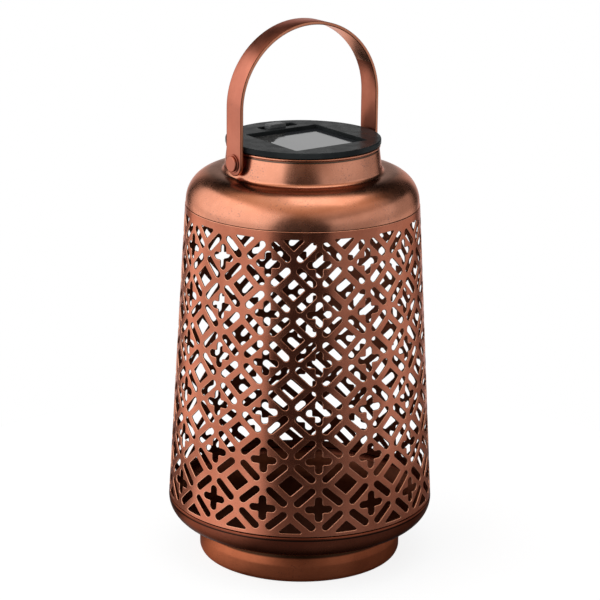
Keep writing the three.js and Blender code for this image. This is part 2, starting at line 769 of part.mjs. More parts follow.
// The knob is a low block with sloping ends on a stem that reaches into the switch
function switchKnob() {
  const bottom = recessFloor + GAP;
  const top = lidTop + KNOB_STAND;
  const half = KNOB_LENGTH / 2;
  const side = [
    point(knobX - half, bottom),
    point(knobX + half, bottom),
    point(knobX + half, top - KNOB_CHAMFER),
    point(knobX + half - KNOB_CHAMFER, top),
    point(knobX - half + KNOB_CHAMFER, top),
    point(knobX - half, top - KNOB_CHAMFER),
  ];
  const cap = extrudedAcross(side, SWITCH_RECESS_WIDTH - 2 * KNOB_SIDE_GAP, switchY);
  const stem = block(knobX, switchY, STEM_LENGTH, STEM_WIDTH, stemBottom, (bottom + top) / 2);
  return built(cap, [stem]);
}

function switchBody() {
  const bottom = switchBodyTop - SWITCH_BODY_HEIGHT;
  const box = block(SWITCH_X, switchY, SWITCH_BODY_LENGTH, SWITCH_BODY_WIDTH, bottom, switchBodyTop);
  const pins = [-1, 0, 1].map((i) =>
    block(
      SWITCH_X + i * SWITCH_PIN_PITCH,
      switchY,
      SWITCH_PIN_WIDTH,
      SWITCH_PIN_WIDTH,
      bottom - SWITCH_PIN_LENGTH,
      bottom + SWITCH_PIN_WIDTH,
    ),
  );
  const slotTop = switchBodyTop + GAP;
  const stemSlot = block(SWITCH_X, switchY, stemRoom, STEM_WIDTH + 2 * GAP, stemBottom - GAP, slotTop);
  return built(box, pins, [stemSlot]);
}

// Stations along X in the battery's compartment, whose spring is at its low end
const compartment = BATTERY_LENGTH + SPRING_STROKE + 3 * GAP + 2 * CONTACT_THICKNESS;
const endWallFace = compartment / 2 + GAP;
const plusPlate = compartment / 2 - CONTACT_THICKNESS;
const minusPlate = -plusPlate;
const batteryHigh = plusPlate - GAP;
const batteryLow = batteryHigh - BATTERY_LENGTH;
const batteryZ = housingFloor + BATTERY_FLOAT + BATTERY_RADIUS;
const doorRecessTop = housingBottom + DOOR_THICKNESS + GAP;

// The battery passes through an opening in the floor, which the door covers from a ledge
const openingLength = compartment;
const openingWidth = 2 * (BATTERY_RADIUS + DOOR_PLAY);
const doorEarX = endWallFace + DOOR_BOSS_RADIUS;

// The door's outline: a rectangle with a round ear for a screw at each end
function doorOutline(grow) {
  const halfLength = openingLength / 2 + DOOR_LEDGE + grow;
  const halfWidth = openingWidth / 2 + DOOR_LEDGE + grow;
  const ear = DOOR_EAR_RADIUS + grow;
  const end = (side) => [
    point(side * halfLength, batteryY - side * halfWidth),
    point(side * halfLength, batteryY - side * ear),
    ...arc(point(side * doorEarX, batteryY), side * ear, side * ear, -90, 90, SCREW_STEPS),
    point(side * halfLength, batteryY + side * ear),
    point(side * halfLength, batteryY + side * halfWidth),
  ];
  return [...end(1), ...end(-1)];
}
const doorScrewPlaces = [point(-doorEarX, batteryY), point(doorEarX, batteryY)];

// The housing is a cup with a round window for the dome, bosses for the screws, two walls that
// back the battery's contacts, and an opening in its floor that the door closes
function moduleHousing() {
  const path = [
    point(DOME_RADIUS + GAP, housingBottom),
    point(housingRadius - HOUSING_EDGE, housingBottom),
    point(housingRadius, housingBottom + HOUSING_EDGE),
    point(housingRadius, housingTop),
  ];
  const cup = turned(sheetOutline(path, HOUSING_WALL), HOUSING_STEPS);
  const rootZ = housingBottom + HOUSING_WALL / 2;
  const joined = [
    ...housingScrewPlaces.map(({ x, y }) =>
      rod(HOUSING_BOSS_RADIUS, x, y, rootZ, housingBossTop, SMALL_STEPS),
    ),
    ...doorScrewPlaces.map(({ x, y }) =>
      rod(DOOR_BOSS_RADIUS, x, y, doorRecessTop, housingFloor + DOOR_BOSS_HEIGHT, SMALL_STEPS),
    ),
    ...[-1, 1].map((side) =>
      block(
        side * (endWallFace + END_WALL / 2),
        batteryY,
        END_WALL,
        END_WALL_WIDTH,
        doorRecessTop,
        batteryZ + BATTERY_RADIUS,
      ),
    ),
  ];
  const below = housingBottom - GAP;
  const opening = block(0, batteryY, openingLength, openingWidth, below, housingFloor + GAP);
  const cut = [
    ...housingScrewPlaces.flatMap(({ x, y }) => [
      rod(SCREW_HEAD + GAP, x, y, below, screwSeat, SMALL_STEPS),
      rod(SCREW_SHANK + GAP, x, y, below, housingBossTop + GAP, SCREW_STEPS),
    ]),
    ...doorScrewPlaces.map(({ x, y }) =>
      rod(SCREW_SHANK + GAP, x, y, below, housingBottom + DOOR_SCREW_REACH + GAP, SCREW_STEPS),
    ),
    opening,
    plate(doorOutline(GAP), below, doorRecessTop),
  ];
  return built(cup, joined, cut);
}

function batteryDoor() {
  const holes = doorScrewPlaces.map(({ x, y }) =>
    rod(SCREW_SHANK + GAP, x, y, housingBottom - GAP, doorRecessTop, SCREW_STEPS),
  );
  return built(plate(doorOutline(0), housingBottom, housingBottom + DOOR_THICKNESS), [], holes);
}

// A screw whose head hangs below its seat and whose shank reaches up from it
function screw({ x, y }, seat, headRadius, headHeight, shankRadius, reach) {
  const outline = [
    point(0, seat - headHeight),
    point(headRadius, seat - headHeight),
    point(headRadius, seat),
    point(shankRadius, seat),
    point(shankRadius, seat + reach),
    point(0, seat + reach),
  ];
  return turned(outline, SCREW_STEPS).translate(x, y, 0);
}

const housingScrew = (place) =>
  screw(place, screwSeat - GAP, SCREW_HEAD, SCREW_HEAD_HEIGHT, SCREW_SHANK, BOSS_WEB + SCREW_REACH);
const doorScrew = (place) =>
  screw(place, housingBottom - GAP, SCREW_HEAD, DOOR_SCREW_HEAD_HEIGHT, SCREW_SHANK, DOOR_SCREW_REACH);
const boardScrew = (place) =>
  screw(
    place,
    boardBottom - GAP,
    BOARD_SCREW_HEAD,
    BOARD_SCREW_HEAD_HEIGHT,
    BOARD_SCREW_SHANK,
    BOARD_THICKNESS + GAP + BOARD_SCREW_REACH,
  );

// The board hangs under the lid's posts, with a chip and a coil on its lower face
function circuitBoard() {
  const board = block(0, BOARD_Y, 2 * boardHalf, BOARD_WIDTH, boardBottom, boardTop);
  const rootZ = boardBottom + BOARD_THICKNESS / 2;
  const chip = block(CHIP_X, BOARD_Y, CHIP_LENGTH, CHIP_WIDTH, boardBottom - CHIP_HEIGHT, rootZ);
  const coil = rod(COIL_RADIUS, COIL_X, BOARD_Y, boardBottom - COIL_HEIGHT, rootZ, SMALL_STEPS);
  const holes = boardPostPlaces.map(({ x, y }) =>
    rod(BOARD_SCREW_SHANK + GAP, x, y, boardBottom - GAP, boardTop + GAP, SCREW_STEPS),
  );
  return built(board, [chip, coil], holes);
}

function battery() {
  const edge = BATTERY_NUB_HEIGHT / 2;
  const shoulder = batteryHigh - BATTERY_NUB_HEIGHT;
  const outline = [
    point(0, batteryLow),
    point(BATTERY_RADIUS - edge, batteryLow),
    point(BATTERY_RADIUS, batteryLow + edge),
    point(BATTERY_RADIUS, shoulder - edge),
    point(BATTERY_RADIUS - edge, shoulder),
    point(BATTERY_NUB_RADIUS, shoulder),
    point(BATTERY_NUB_RADIUS, batteryHigh),
    point(0, batteryHigh),
  ];
  return turned(outline, SMALL_STEPS).rotateY(Math.PI / 2).translate(0, batteryY, batteryZ);
}

function contactPlus() {
  const half = CONTACT_HEIGHT / 2;
  const x = plusPlate + CONTACT_THICKNESS / 2;
  return block(x, batteryY, CONTACT_THICKNESS, CONTACT_WIDTH, batteryZ - half, batteryZ + half);
}

// The minus contact is one strip: a flat back, bent at its foot into a leaf spring
function contactMinus() {
  const half = CONTACT_HEIGHT / 2;
  const back = minusPlate - CONTACT_THICKNESS;
  const nose = back + SPRING_STROKE + CONTACT_THICKNESS;
  const path = [
    point(back, batteryZ + half),
    point(back, batteryZ - half),
    point(back + 2 * CONTACT_THICKNESS, batteryZ - half),
    point(nose, batteryZ),
    point(back + 3 * CONTACT_THICKNESS, batteryZ + half / 2),
  ];
  return extrudedAcross(sheetOutline(path, CONTACT_THICKNESS), CONTACT_WIDTH, batteryY);
}

// The lamp hangs from the board on its two leads, dome down
function led() {
  const top = housingFloor + LED_ABOVE_FLOOR;
  const domeZ = top - LED_LENGTH + LED_RADIUS;
  const outline = [
    ...arc(point(0, domeZ), LED_RADIUS, LED_RADIUS, -90, 0, DOME_STEPS),
    point(LED_RADIUS, top - LED_FLANGE_HEIGHT),
    point(LED_RADIUS + LED_FLANGE, top - LED_FLANGE_HEIGHT),
    point(LED_RADIUS + LED_FLANGE, top),
    point(0, top),
  ];
  outline[0].x = 0;
  const leads = [-0.5, 0.5].map((side) =>
    block(side * LED_LEAD_PITCH, 0, LED_LEAD, LED_LEAD, top - LED_LEAD, boardBottom - GAP),
  );
  return built(turned(outline, SMALL_STEPS), leads);
}

// The frosted dome hangs in the housing's window by its flange
function ledDome() {
  const flangeBottom = housingFloor + GAP;
  const flangeTop = flangeBottom + DOME_FLANGE_HEIGHT;
  const centre = point(0, housingBottom);
  const innerRadius = DOME_RADIUS - DOME_WALL;
  const outside = arc(centre, DOME_RADIUS, DOME_DROP, -90, 0, DOME_STEPS);
  const inside = arc(centre, innerRadius, DOME_DROP - DOME_WALL, 0, -90, DOME_STEPS);
  outside[0].x = 0;
  inside[DOME_STEPS].x = 0;
  const outline = [
    ...outside,
    point(DOME_RADIUS, flangeBottom),
    point(DOME_RADIUS + DOME_FLANGE, flangeBottom),
    point(DOME_RADIUS + DOME_FLANGE, flangeTop),
    point(innerRadius, flangeTop),
    ...inside,
  ];
  return turned(outline, SMALL_STEPS);
}

const lantern = new THREE.Group();
const handle = new THREE.Group();
const solarModule = new THREE.Group();
lantern.add(handle, solarModule);

function addPiece(group, name, geometry, material) {
  const shape = geometry.index ? geometry.toNonIndexed() : geometry;
  shape.computeVertexNormals();
  const piece = new THREE.Mesh(shape, material);
  piece.name = name;
  group.add(piece);
}

addPiece(lantern, "foot_ring", footRing(), DARK_COPPER);
addPiece(lantern, "base_pan", basePan(), DARK_COPPER);
addPiece(lantern, "perforated_sleeve", perforatedSleeve(), COPPER);
addPiece(lantern, "shoulder_neck", shoulderNeck(), COPPER);
addPiece(handle, "handle_strap", handleStrap(), COPPER);
for (const side of [-1, 1]) {
  const label = side < 0 ? "left" : "right";
  addPiece(lantern, `handle_rivet_${label}`, handleRivet(side), COPPER);
  addPiece(lantern, `handle_washer_${label}`, handleWasher(side), COPPER);
  addPiece(lantern, `handle_spacer_${label}`, handleSpacer(side), COPPER);
}
addPiece(solarModule, "solar_lid", solarLid(), CHARCOAL);
addPiece(solarModule, "solar_cell", solarCell(), CELL_GREY);
addPiece(solarModule, "sealing_ring", sealingRing(), RUBBER);
addPiece(solarModule, "switch_knob", switchKnob(), CHARCOAL);
addPiece(solarModule, "switch_body", switchBody(), STEEL);
addPiece(solarModule, "module_housing", moduleHousing(), CHARCOAL);
addPiece(solarModule, "circuit_board", circuitBoard(), BOARD_GREEN);
addPiece(solarModule, "battery", battery(), BATTERY_GREEN);
addPiece(solarModule, "battery_contact_plus", contactPlus(), STEEL);
addPiece(solarModule, "battery_contact_minus", contactMinus(), STEEL);
addPiece(solarModule, "led", led(), FROSTED);
addPiece(solarModule, "led_dome", ledDome(), FROSTED);
addPiece(solarModule, "battery_door", batteryDoor(), CHARCOAL);
for (const [i, place] of housingScrewPlaces.entries()) {
  addPiece(solarModule, `housing_screw_${i + 1}`, housingScrew(place), STEEL);
}
for (const [i, place] of boardPostPlaces.entries()) {
  addPiece(solarModule, `board_screw_${i + 1}`, boardScrew(place), STEEL);
}
for (const [i, place] of doorScrewPlaces.entries()) {
  addPiece(solarModule, `door_screw_${i + 1}`, doorScrew(place), STEEL);
}

export default lantern;
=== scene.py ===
"""The looks of the solar lantern: smooth and finely pierced sheet metal, plastics, light and camera.

Sizes are in millimetres and become metres where a mesh is made. Places come from the boxes of
the parts in model.glb where those give them, and else repeat the named sizes of the part's source.
"""

import math

import bmesh
import bpy
from mathutils import Matrix, Vector
from mathutils.geometry import delaunay_2d_cdt


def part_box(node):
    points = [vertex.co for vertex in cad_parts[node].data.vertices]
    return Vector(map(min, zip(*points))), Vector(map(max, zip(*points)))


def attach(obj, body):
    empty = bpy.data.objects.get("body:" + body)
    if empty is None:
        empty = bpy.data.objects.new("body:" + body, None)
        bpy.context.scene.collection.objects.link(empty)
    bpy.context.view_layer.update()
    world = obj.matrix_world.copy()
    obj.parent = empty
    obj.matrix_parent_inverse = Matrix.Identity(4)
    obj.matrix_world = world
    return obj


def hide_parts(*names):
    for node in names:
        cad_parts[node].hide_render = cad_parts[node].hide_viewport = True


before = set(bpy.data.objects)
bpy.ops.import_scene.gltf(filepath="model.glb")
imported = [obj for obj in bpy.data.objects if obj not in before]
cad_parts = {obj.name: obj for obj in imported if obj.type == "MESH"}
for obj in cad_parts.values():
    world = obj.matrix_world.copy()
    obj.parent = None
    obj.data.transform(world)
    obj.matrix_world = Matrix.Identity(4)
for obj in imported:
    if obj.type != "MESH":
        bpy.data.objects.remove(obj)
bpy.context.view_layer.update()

MM = 0.001
ROUND_STEPS = 160
SMALL_STEPS = 48
SCREW_STEPS = 24
DOME_STEPS = 64
SMOOTH_ANGLE = math.radians(38)
# Points nearer than this are one point
SAME_POINT = 1e-4


def low(node):
    """The lowest corner of a CAD node, in millimetres."""
    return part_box(node)[0] / MM


def high(node):
    """The highest corner of a CAD node, in millimetres."""
    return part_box(node)[1] / MM


def middle(node):
    """The centre of a CAD node's box, in millimetres."""
    return (low(node) + high(node)) / 2


# Foot and pan
foot_radius = high("foot_ring").x
foot_height = high("foot_ring").z
FOOT_WALL = 0.9
FOOT_WAIST = 1.4
FOOT_EDGE = 2.2
FOOT_RIM = 5.0
FOOT_ROUNDS = [0, 1.5, 3.0, 8.0, 1.4, 0]
pan_bottom = low("base_pan").z
pan_radius = high("base_pan").x
PAN_WALL = 0.9
PAN_SEAT = 2.1
PAN_FULLNESS = 2.15
PAN_EDGE = 1.3
PAN_LAP = 1.9
PAN_LAP_RADIUS = 80.1

# Sleeve and its pattern
SLEEVE_BOTTOM_RADIUS = 81.7
SLEEVE_TOP_RADIUS = 71.0
SLEEVE_WALL = 0.8
SLEEVE_SEAM = 0.4
COLUMNS = 15
ROWS = 6
ROW_PITCH = 29.6
PATTERN_TURN = math.radians(14.1)
PATTERN_SPACING = 3.0
RIM_PARTS = 16
MARGIN_BELOW = 2.3
CROSS_REACH = 7.65
CROSS_HALF_WIDTH = 2.15
CROSS_FILLET = 1.0
SLOT_REACH = 7.5
SLOT_HALF_WIDTH = 2.1
DIAMOND_REACH = 7.1
DIAMOND_ROUND = 0.6
HOLE_EDGE = 0.38
sleeve_bottom = low("perforated_sleeve").z
sleeve_top = high("perforated_sleeve").z
sleeve_height = sleeve_top - sleeve_bottom
pan_top = sleeve_bottom - SLEEVE_SEAM
# The pattern is drawn flat at the sleeve's middle radius, as in the part's source
pattern_radius = (SLEEVE_BOTTOM_RADIUS + SLEEVE_TOP_RADIUS) / 2
half_column = math.pi * pattern_radius / COLUMNS
half_row = ROW_PITCH / 2

# Shoulder and neck
SHOULDER_WALL = 1.0
SHOULDER_GAP = 0.3
SHOULDER_INSET = 0.3
SHOULDER_RISE = 20.0
SHOULDER_FULLNESS = 2.16
SHOULDER_FLAT = 0.8
SHOULDER_LIP = 0.35
SHOULDER_DROP = 0.2
LAP_PLAY = 0.3
NECK_TOP_RADIUS = 45.6
NECK_TAPER = 1.7
NECK_FILLET = 2.8
NECK_BEAD = 0.8
NECK_CROOK = 0.25
shoulder_bottom = sleeve_top + SHOULDER_GAP
shoulder_top = shoulder_bottom + SHOULDER_RISE
neck_top = high("shoulder_neck").z

# Handle and rivets
strap_outside = high("handle_strap").x
strap_top = high("handle_strap").z
STRAP_WIDTH = 15.0
STRAP_THICKNESS = 2.0
STRAP_ROUND = 0.45
STRAP_ARCH = 46.3
# The inside of the arch's top takes a painted highlight, from this slope on
STRAP_PAINTED_HIGHLIGHT_SLOPE = 0.44
# Its faces are cut edges or roundings from these shares of their normals on
STRAP_CUT_FACING = 0.8
STRAP_ROUND_FACING = 0.2
RIVET_HEAD_RADIUS = 4.85
RIVET_TAIL_RADIUS = 3.2
RIVET_TAIL = 1.0
RIVET_SHANK = 2.2
RIVET_PLAY = 0.3
RIVET_ROUNDS = [0, 0.4, 0.2, 0.1, 0.1, 0.35, 0.6, 0]
WASHER_RADIUS = 5.5
SPACER_RADIUS = 4.0
WASHER_ROUND = 0.15
pivot_z = low("handle_strap").z + STRAP_WIDTH / 2

# Lid and cell
LID_THICKNESS = 3.4
LID_EDGE = 0.75
LID_TRAY_FLOOR = 1.5
TRAY_PLAY = 0.3
TRAY_CORNER = 0.9
TRAY_LIP = 0.45
CELL_CORNER = 0.8
CELL_EDGE = 0.25
SPIGOT_WALL = 3.9
SPIGOT_CHAMFER = 0.4
SPIGOT_GAP = 0.3
lid_radius = high("solar_lid").x
lid_top = high("solar_lid").z
lid_bottom = lid_top - LID_THICKNESS
cell_low, cell_high = low("solar_cell"), high("solar_cell")
tray_floor = cell_low.z - TRAY_PLAY
lid_underside = tray_floor - LID_TRAY_FLOOR
spigot_bottom = high("module_housing").z + SPIGOT_GAP
spigot_radius = NECK_TOP_RADIUS - SHOULDER_WALL - 0.5

# Switch and seal
SWITCH_X = 3.5
RECESS_LENGTH = 26.0
RECESS_WIDTH = 7.0
RECESS_CORNER = 1.4
RECESS_DEPTH = 1.6
SLOT_LENGTH = 6.0
SLOT_WIDTH = 2.6
SLOT_CORNER = 0.4
KNOB_CHAMFER = 0.8
KNOB_EDGE = 0.35
KNOB_PLAY = 0.3
KNOB_ROUNDS = [0.2, 0.2, 0.35, 0.35, 0.35, 0.35]
STEM_HALF_LENGTH = 1.2
STEM_HALF_WIDTH = 1.0
STEM_LAP = 0.6
STEM_CORNER = 0.3
STEM_EDGE = 0.15
SEAL_WIDTH = 1.0
SEAL_ROOM = 0.3
SEAL_ROUND = 0.25
switch_y = middle("switch_knob").y
recess_floor_z = lid_top - RECESS_DEPTH

# Housing
HOUSING_WALL = 1.8
HOUSING_EDGE = 2.5
HOUSING_CHAMFER = 0.4
BOSS_RADIUS = 4.2
BOSS_WEB = 2.0
COUNTERBORE = 2.7
SCREW_REACH = 5.2
SCREW_PLAY = 0.3
DOME_WINDOW = 9.3
WINDOW_CHAMFER = 0.3
DOME_WALL = 1.2
DOME_FLANGE = 2.0
DOOR_PLAY = 0.3
DOOR_EDGE = 0.25
DOOR_EAR = 3.2
DOOR_EAR_LAP = 1.8
DOOR_HOLE = 1.5
housing_radius = high("module_housing").x
housing_bottom = low("module_housing").z
housing_top = high("module_housing").z
housing_floor = housing_bottom + HOUSING_WALL


def rounded(corners, radii, closed=True, steps=5, spacing=20.0):
    """The corners' outline with its corners rounded and its straight sides divided."""
    count = len(corners)
    points = []
    for i, corner in enumerate(corners):
        here = Vector(corner)
        radius = radii[i] if isinstance(radii, list) else radii
        at_end = not closed and i in (0, count - 1)
        if at_end or radius <= 0:
            points.append(here)
            continue
        before = (Vector(corners[i - 1]) - here).normalized()
        after = (Vector(corners[(i + 1) % count]) - here).normalized()
        half = before.angle(after) / 2
        centre = here + (before + after).normalized() * (radius / math.sin(half))
        reach = radius / math.tan(half)
        start = here + before * reach - centre
        sweep = start.angle_signed(here + after * reach - centre)
        for k in range(steps + 1):
            points.append(centre + Matrix.Rotation(-sweep * k / steps, 2) @ start)
    spread = []
    for a, b in zip(points, points[1:] + points[:1] if closed else points[1:]):
        length = (b - a).length
        if length < SAME_POINT:
            continue
        parts = max(1, round(length / spacing))
        spread.extend(a.lerp(b, k / parts) for k in range(parts))
    return spread if closed else [*spread, points[-1]]


def arc(centre, radius_x, radius_y, start, end, steps, fullness=2):
    """Points on an ellipse's arc between two angles in degrees.

    A fullness above 2 swells the arc towards the corners of the ellipse's box.
    """

    def swollen(share):
        return math.copysign(abs(share) ** (2 / fullness), share)

    angles = [math.radians(start + (end - start) * i / steps) for i in range(steps + 1)]
    return [
        (centre[0] + radius_x * swollen(math.cos(a)), centre[1] + radius_y * swollen(math.sin(a)))
        for a in angles
    ]


def quarter_round(radius, steps=3):
    """How far an edge's rounding lies inside the side and inside the face, from the face on."""
    angles = [math.pi / 2 * k / steps for k in range(steps + 1)]
    return [(radius * (1 - math.sin(a)), radius * (1 - math.cos(a))) for a in angles]


def sheet_outline(path, wall, tip=()):
    """The closed outline of a bent sheet whose wall lies to the left of its path."""
    points = [Vector(p) for p in path]
    along = [(b - a).normalized() for a, b in zip(points, points[1:])]
    sides = [Vector((-a.y, a.x)) for a in along]
    offset = []
    for here, before, after in zip(points, [sides[0], *sides], [*sides, sides[-1]]):
        mitre = (before + after).normalized()
        offset.append(here + mitre * (wall / mitre.dot(before)))
    return [*points, *[Vector(p) for p in tip], *reversed(offset)]


def placed(name, mesh, body, node):
    """A mesh as a new piece that rides on a body and replaces a CAD node."""
    piece = bpy.data.objects.new(name, mesh)
    bpy.context.scene.collection.objects.link(piece)
    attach(piece, body)
    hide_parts(node)
    return piece


def mesh_piece(name, points, faces, material, body, node):
    """A new piece from points in millimetres, smooth except at its sharp edges."""
    mesh = bpy.data.meshes.new(name)
    mesh.from_pydata([tuple(c * MM for c in p) for p in points], [], faces)
    mesh.validate()
    mesh.shade_smooth()
    mesh.set_sharp_from_angle(angle=SMOOTH_ANGLE)
    mesh.materials.append(material)
    return placed(name, mesh, body, node)


def turn_angles(steps):
    return [2 * math.pi * k / steps for k in range(steps)]


def turned(name, outline, steps, material, body, node, place=lambda p: p):
    """A piece from an outline of radius and height that is turned about Z.

    An outline that starts and ends on the axis is closed there, and any other is a loop.
    """
    loop = [Vector(p) for p in outline]
    if sum(a.x * b.y - b.x * a.y for a, b in zip(loop, loop[1:] + loop[:1])) < 0:
        loop.reverse()
    points, rings = [], []
    for radius, z in loop:
        on_axis = radius < SAME_POINT
        rings.append(range(len(points), len(points) + (1 if on_axis else steps)))
        for angle in [0.0] if on_axis else turn_angles(steps):
            points.append(place(Vector((radius * math.cos(angle), radius * math.sin(angle), z))))
    pairs = list(zip(rings, rings[1:]))
    if len(rings[0]) > 1 or len(rings[-1]) > 1:
        pairs.append((rings[-1], rings[0]))
    faces = []
    for lower, upper in pairs:
        for k in range(steps):
            around_face = ((lower, k), (lower, k + 1), (upper, k + 1), (upper, k))
            corners = list(dict.fromkeys(ring[i % len(ring)] for ring, i in around_face))
            if len(corners) > 2:
                faces.append(corners)
    return mesh_piece(name, points, faces, material, body, node)


def circle(x, y, radius, steps):
    """An anticlockwise circle of points."""
    return [Vector((x + radius * math.cos(a), y + radius * math.sin(a))) for a in turn_angles(steps)]


def rounded_rectangle(x, y, half_x, half_y, corner, steps=4):
    """An anticlockwise rectangle of points with round corners."""
    points = []
    for quarter, (side_x, side_y) in enumerate(((1, 1), (-1, 1), (-1, -1), (1, -1))):
        for k in range(steps + 1):
            angle = math.pi / 2 * (quarter + k / steps)
            across = x + side_x * (half_x - corner) + corner * math.cos(angle)
            along = y + side_y * (half_y - corner) + corner * math.sin(angle)
            points.append(Vector((across, along)))
    return points


def is_inside(point, loop):
    """Whether a point lies inside a closed loop of points."""
    inside = False
    for a, b in zip(loop, loop[1:] + loop[:1]):
        if (a.y > point.y) != (b.y > point.y):
            crossing = a.x + (point.y - a.y) / (b.y - a.y) * (b.x - a.x)
            inside ^= point.x < crossing
    return inside


def filled(points, loops):
    """Anticlockwise triangles inside the first loop of point numbers and outside the others."""
    edges = [pair for loop in loops for pair in zip(loop, loop[1:] + loop[:1])]
    spots, _, faces, source, _, _ = delaunay_2d_cdt(points, edges, [], 0, 1e-5)
    outline, *holes = [[points[i] for i in loop] for loop in loops]
    kept = []
    for face in faces:
        a, b, c = (spots[i] for i in face)
        centre = (a + b + c) / 3
        if is_inside(centre, outline) and not any(is_inside(centre, hole) for hole in holes):
            ids = [source[i][0] for i in face]
            kept.append(ids if (b - a).cross(c - a) > 0 else ids[::-1])
    return kept


class Shell:
    """A closed piece put together from level loops of points, walls between them and flat caps."""

    def __init__(self):
        self.points = []
        self.faces = []

    def tower(self, levels):
        """Walls through outlines with their heights; gives the first and last loops.

        They face outwards where the heights rise, and inwards where they fall.
        """
        loops = []
        for outline, z in levels:
            first = len(self.points)
            self.points.extend((p.x, p.y, z) for p in outline)
            loops.append(list(range(first, len(self.points))))
        for lower, upper in zip(loops, loops[1:]):
            for k in range(len(lower)):
                n = (k + 1) % len(lower)
                self.faces.append((lower[k], lower[n], upper[n], upper[k]))
        return loops[0], loops[-1]

    def cap(self, edge, holes=(), up=True):
        """A flat face inside a loop and around the loops of its holes."""
        ids = [i for loop in (edge, *holes) for i in loop]
        numbers = iter(range(len(ids)))
        loops = [[next(numbers) for _ in loop] for loop in (edge, *holes)]
        for triangle in filled([Vector(self.points[i][:2]) for i in ids], loops):
            corners = [ids[i] for i in triangle]
            self.faces.append(corners if up else corners[::-1])

    def piece(self, name, material, body, slot, node):
        made = mesh_piece(name, self.points, self.faces, material, body, node)
        made.modifiers.new("flat_caps", "WEIGHTED_NORMAL").keep_sharp = True
        return made


def rounded_block(shell, x, y, half_x, half_y, bottom, top, corner, edge):
    """Adds an upright block with round corners and rounded edges."""
    rounding = quarter_round(edge)
    levels = [(inset, bottom + depth) for inset, depth in rounding]
    levels += [(inset, top - depth) for inset, depth in reversed(rounding)]
    first, last = shell.tower(
        [(rounded_rectangle(x, y, half_x - i, half_y - i, corner - i), z) for i, z in levels]
    )
    shell.cap(first, up=False)
    shell.cap(last)


def clean_mesh(mesh):
    """Merges corners that coincide, drops collapsed faces and turns all faces outwards."""
    work = bmesh.new()
    work.from_mesh(mesh)
    bmesh.ops.remove_doubles(work, verts=work.verts, dist=1e-6)
    bmesh.ops.dissolve_degenerate(work, edges=work.edges, dist=1e-7)
    bmesh.ops.recalc_face_normals(work, faces=work.faces)
    work.to_mesh(mesh)
    work.free()


class Nodes:
    """A short way to write the node tree of a material or the world."""

    def __init__(self, owner, coordinates="Object"):
        owner.use_nodes = True
        self.owner = owner
        self.tree = owner.node_tree
        self.place = self.add("TexCoord", {}, coordinates)

    def feed(self, node, inputs):
        """Links a node's inputs to sockets or sets their values."""
        for socket, value in inputs.items():
            target = node.inputs[socket]
            if isinstance(value, bpy.types.NodeSocket):
                self.tree.links.new(value, target)
            elif target.type == "RGBA":
                target.default_value = (*value, 1)
            else:
                target.default_value = value

    def add(self, kind, inputs, output=0, **settings):
        """A new node with its settings and inputs; gives one of its outputs."""
        node = self.tree.nodes.new(f"ShaderNode{kind}")
        for name, value in settings.items():
            setattr(node, name, value)
        self.feed(node, inputs)
        return node.outputs[output]

    def shade(self, **inputs):
        """Feeds the shader, with underscores for the spaces in names; gives the material."""
        named = {name.replace("_", " "): value for name, value in inputs.items()}
        self.feed(self.tree.nodes["Principled BSDF"], named)
        return self.owner

    def stretched(self, scale):
        """The object's coordinates, scaled differently along each axis."""
        return self.add("Mapping", {"Vector": self.place, "Scale": scale}, "Vector")

    def noise(self, scale, detail=4.0, roughness=0.55, vector=None):
        inputs = {"Scale": scale, "Detail": detail, "Roughness": roughness}
        return self.add("TexNoise", {"Vector": vector or self.place, **inputs}, "Fac")

    def ramp(self, factor, stops):
        node = self.tree.nodes.new("ShaderNodeValToRGB")
        elements = node.color_ramp.elements
        while len(elements) < len(stops):
            elements.new(0.5)
        for element, (position, color) in zip(elements, stops):
            element.position = position
            element.color = (*color, 1)
        self.feed(node, {"Fac": factor})
        return node.outputs["Color"]

    def axis(self, name):
        """One of the coordinates X, Y and Z."""
        return self.add("SeparateXYZ", {0: self.place}, name)

    def height(self):
        return self.axis("Z")

    def from_axis(self):
        """The distance from the part's upright axis, in metres."""
        flat = self.stretched((1.0, 1.0, 0.0))
        return self.add("VectorMath", {0: flat}, "Value", operation="LENGTH")

    def toward(self, direction):
        """The coordinates' share along a direction."""
        return self.add("VectorMath", {0: self.place, 1: direction}, "Value", operation="DOT_PRODUCT")

    def spread(self, factor, low_in, high_in, low_out=0.0, high_out=1.0, **settings):
        ends = {"From Min": low_in, "From Max": high_in, "To Min": low_out, "To Max": high_out}
        return self.add("MapRange", {"Value": factor, **ends}, "Result", **settings)

    def band(self, factor, start, full, full_end, end):
        """One between two values in millimetres, with a slope on both sides."""
        rise = self.spread(factor, start * MM, full * MM)
        return self.times(rise, self.spread(factor, full_end * MM, end * MM, 1.0, 0.0))

    def mixed(self, factor, a, b, blend="MIX"):
        return self.add("Mix", {0: factor, 6: a, 7: b}, 2, data_type="RGBA", blend_type=blend)

    def math(self, operation, *values):
        return self.add("Math", dict(enumerate(values)), operation=operation)

    def times(self, a, b):
        return self.math("MULTIPLY", a, b)

    def bumped(self, *layers):
        """The normal over bumps, each a height with its distance in millimetres."""
        below = {}
        for height, distance in layers:
            inputs = {"Strength": 1.0, "Distance": distance * MM, "Height": height}
            below = {"Normal": self.add("Bump", {**inputs, **below}, "Normal")}
        return below["Normal"]


def shaded(color, shares):
    return tuple(c * share for c, share in zip(color, shares))


# Shares of the deep copper's red, green and blue
FLECK_SHADE = (0.24, 0.42, 0.80)
# The painted shade's tint, as shares of the deep copper's red, green and blue, and how fully the painted
# shade covers
PAINTED_SHADE_TINT = (0.09, 0.20, 0.26)
PAINTED_SHADE_COVER = 0.94


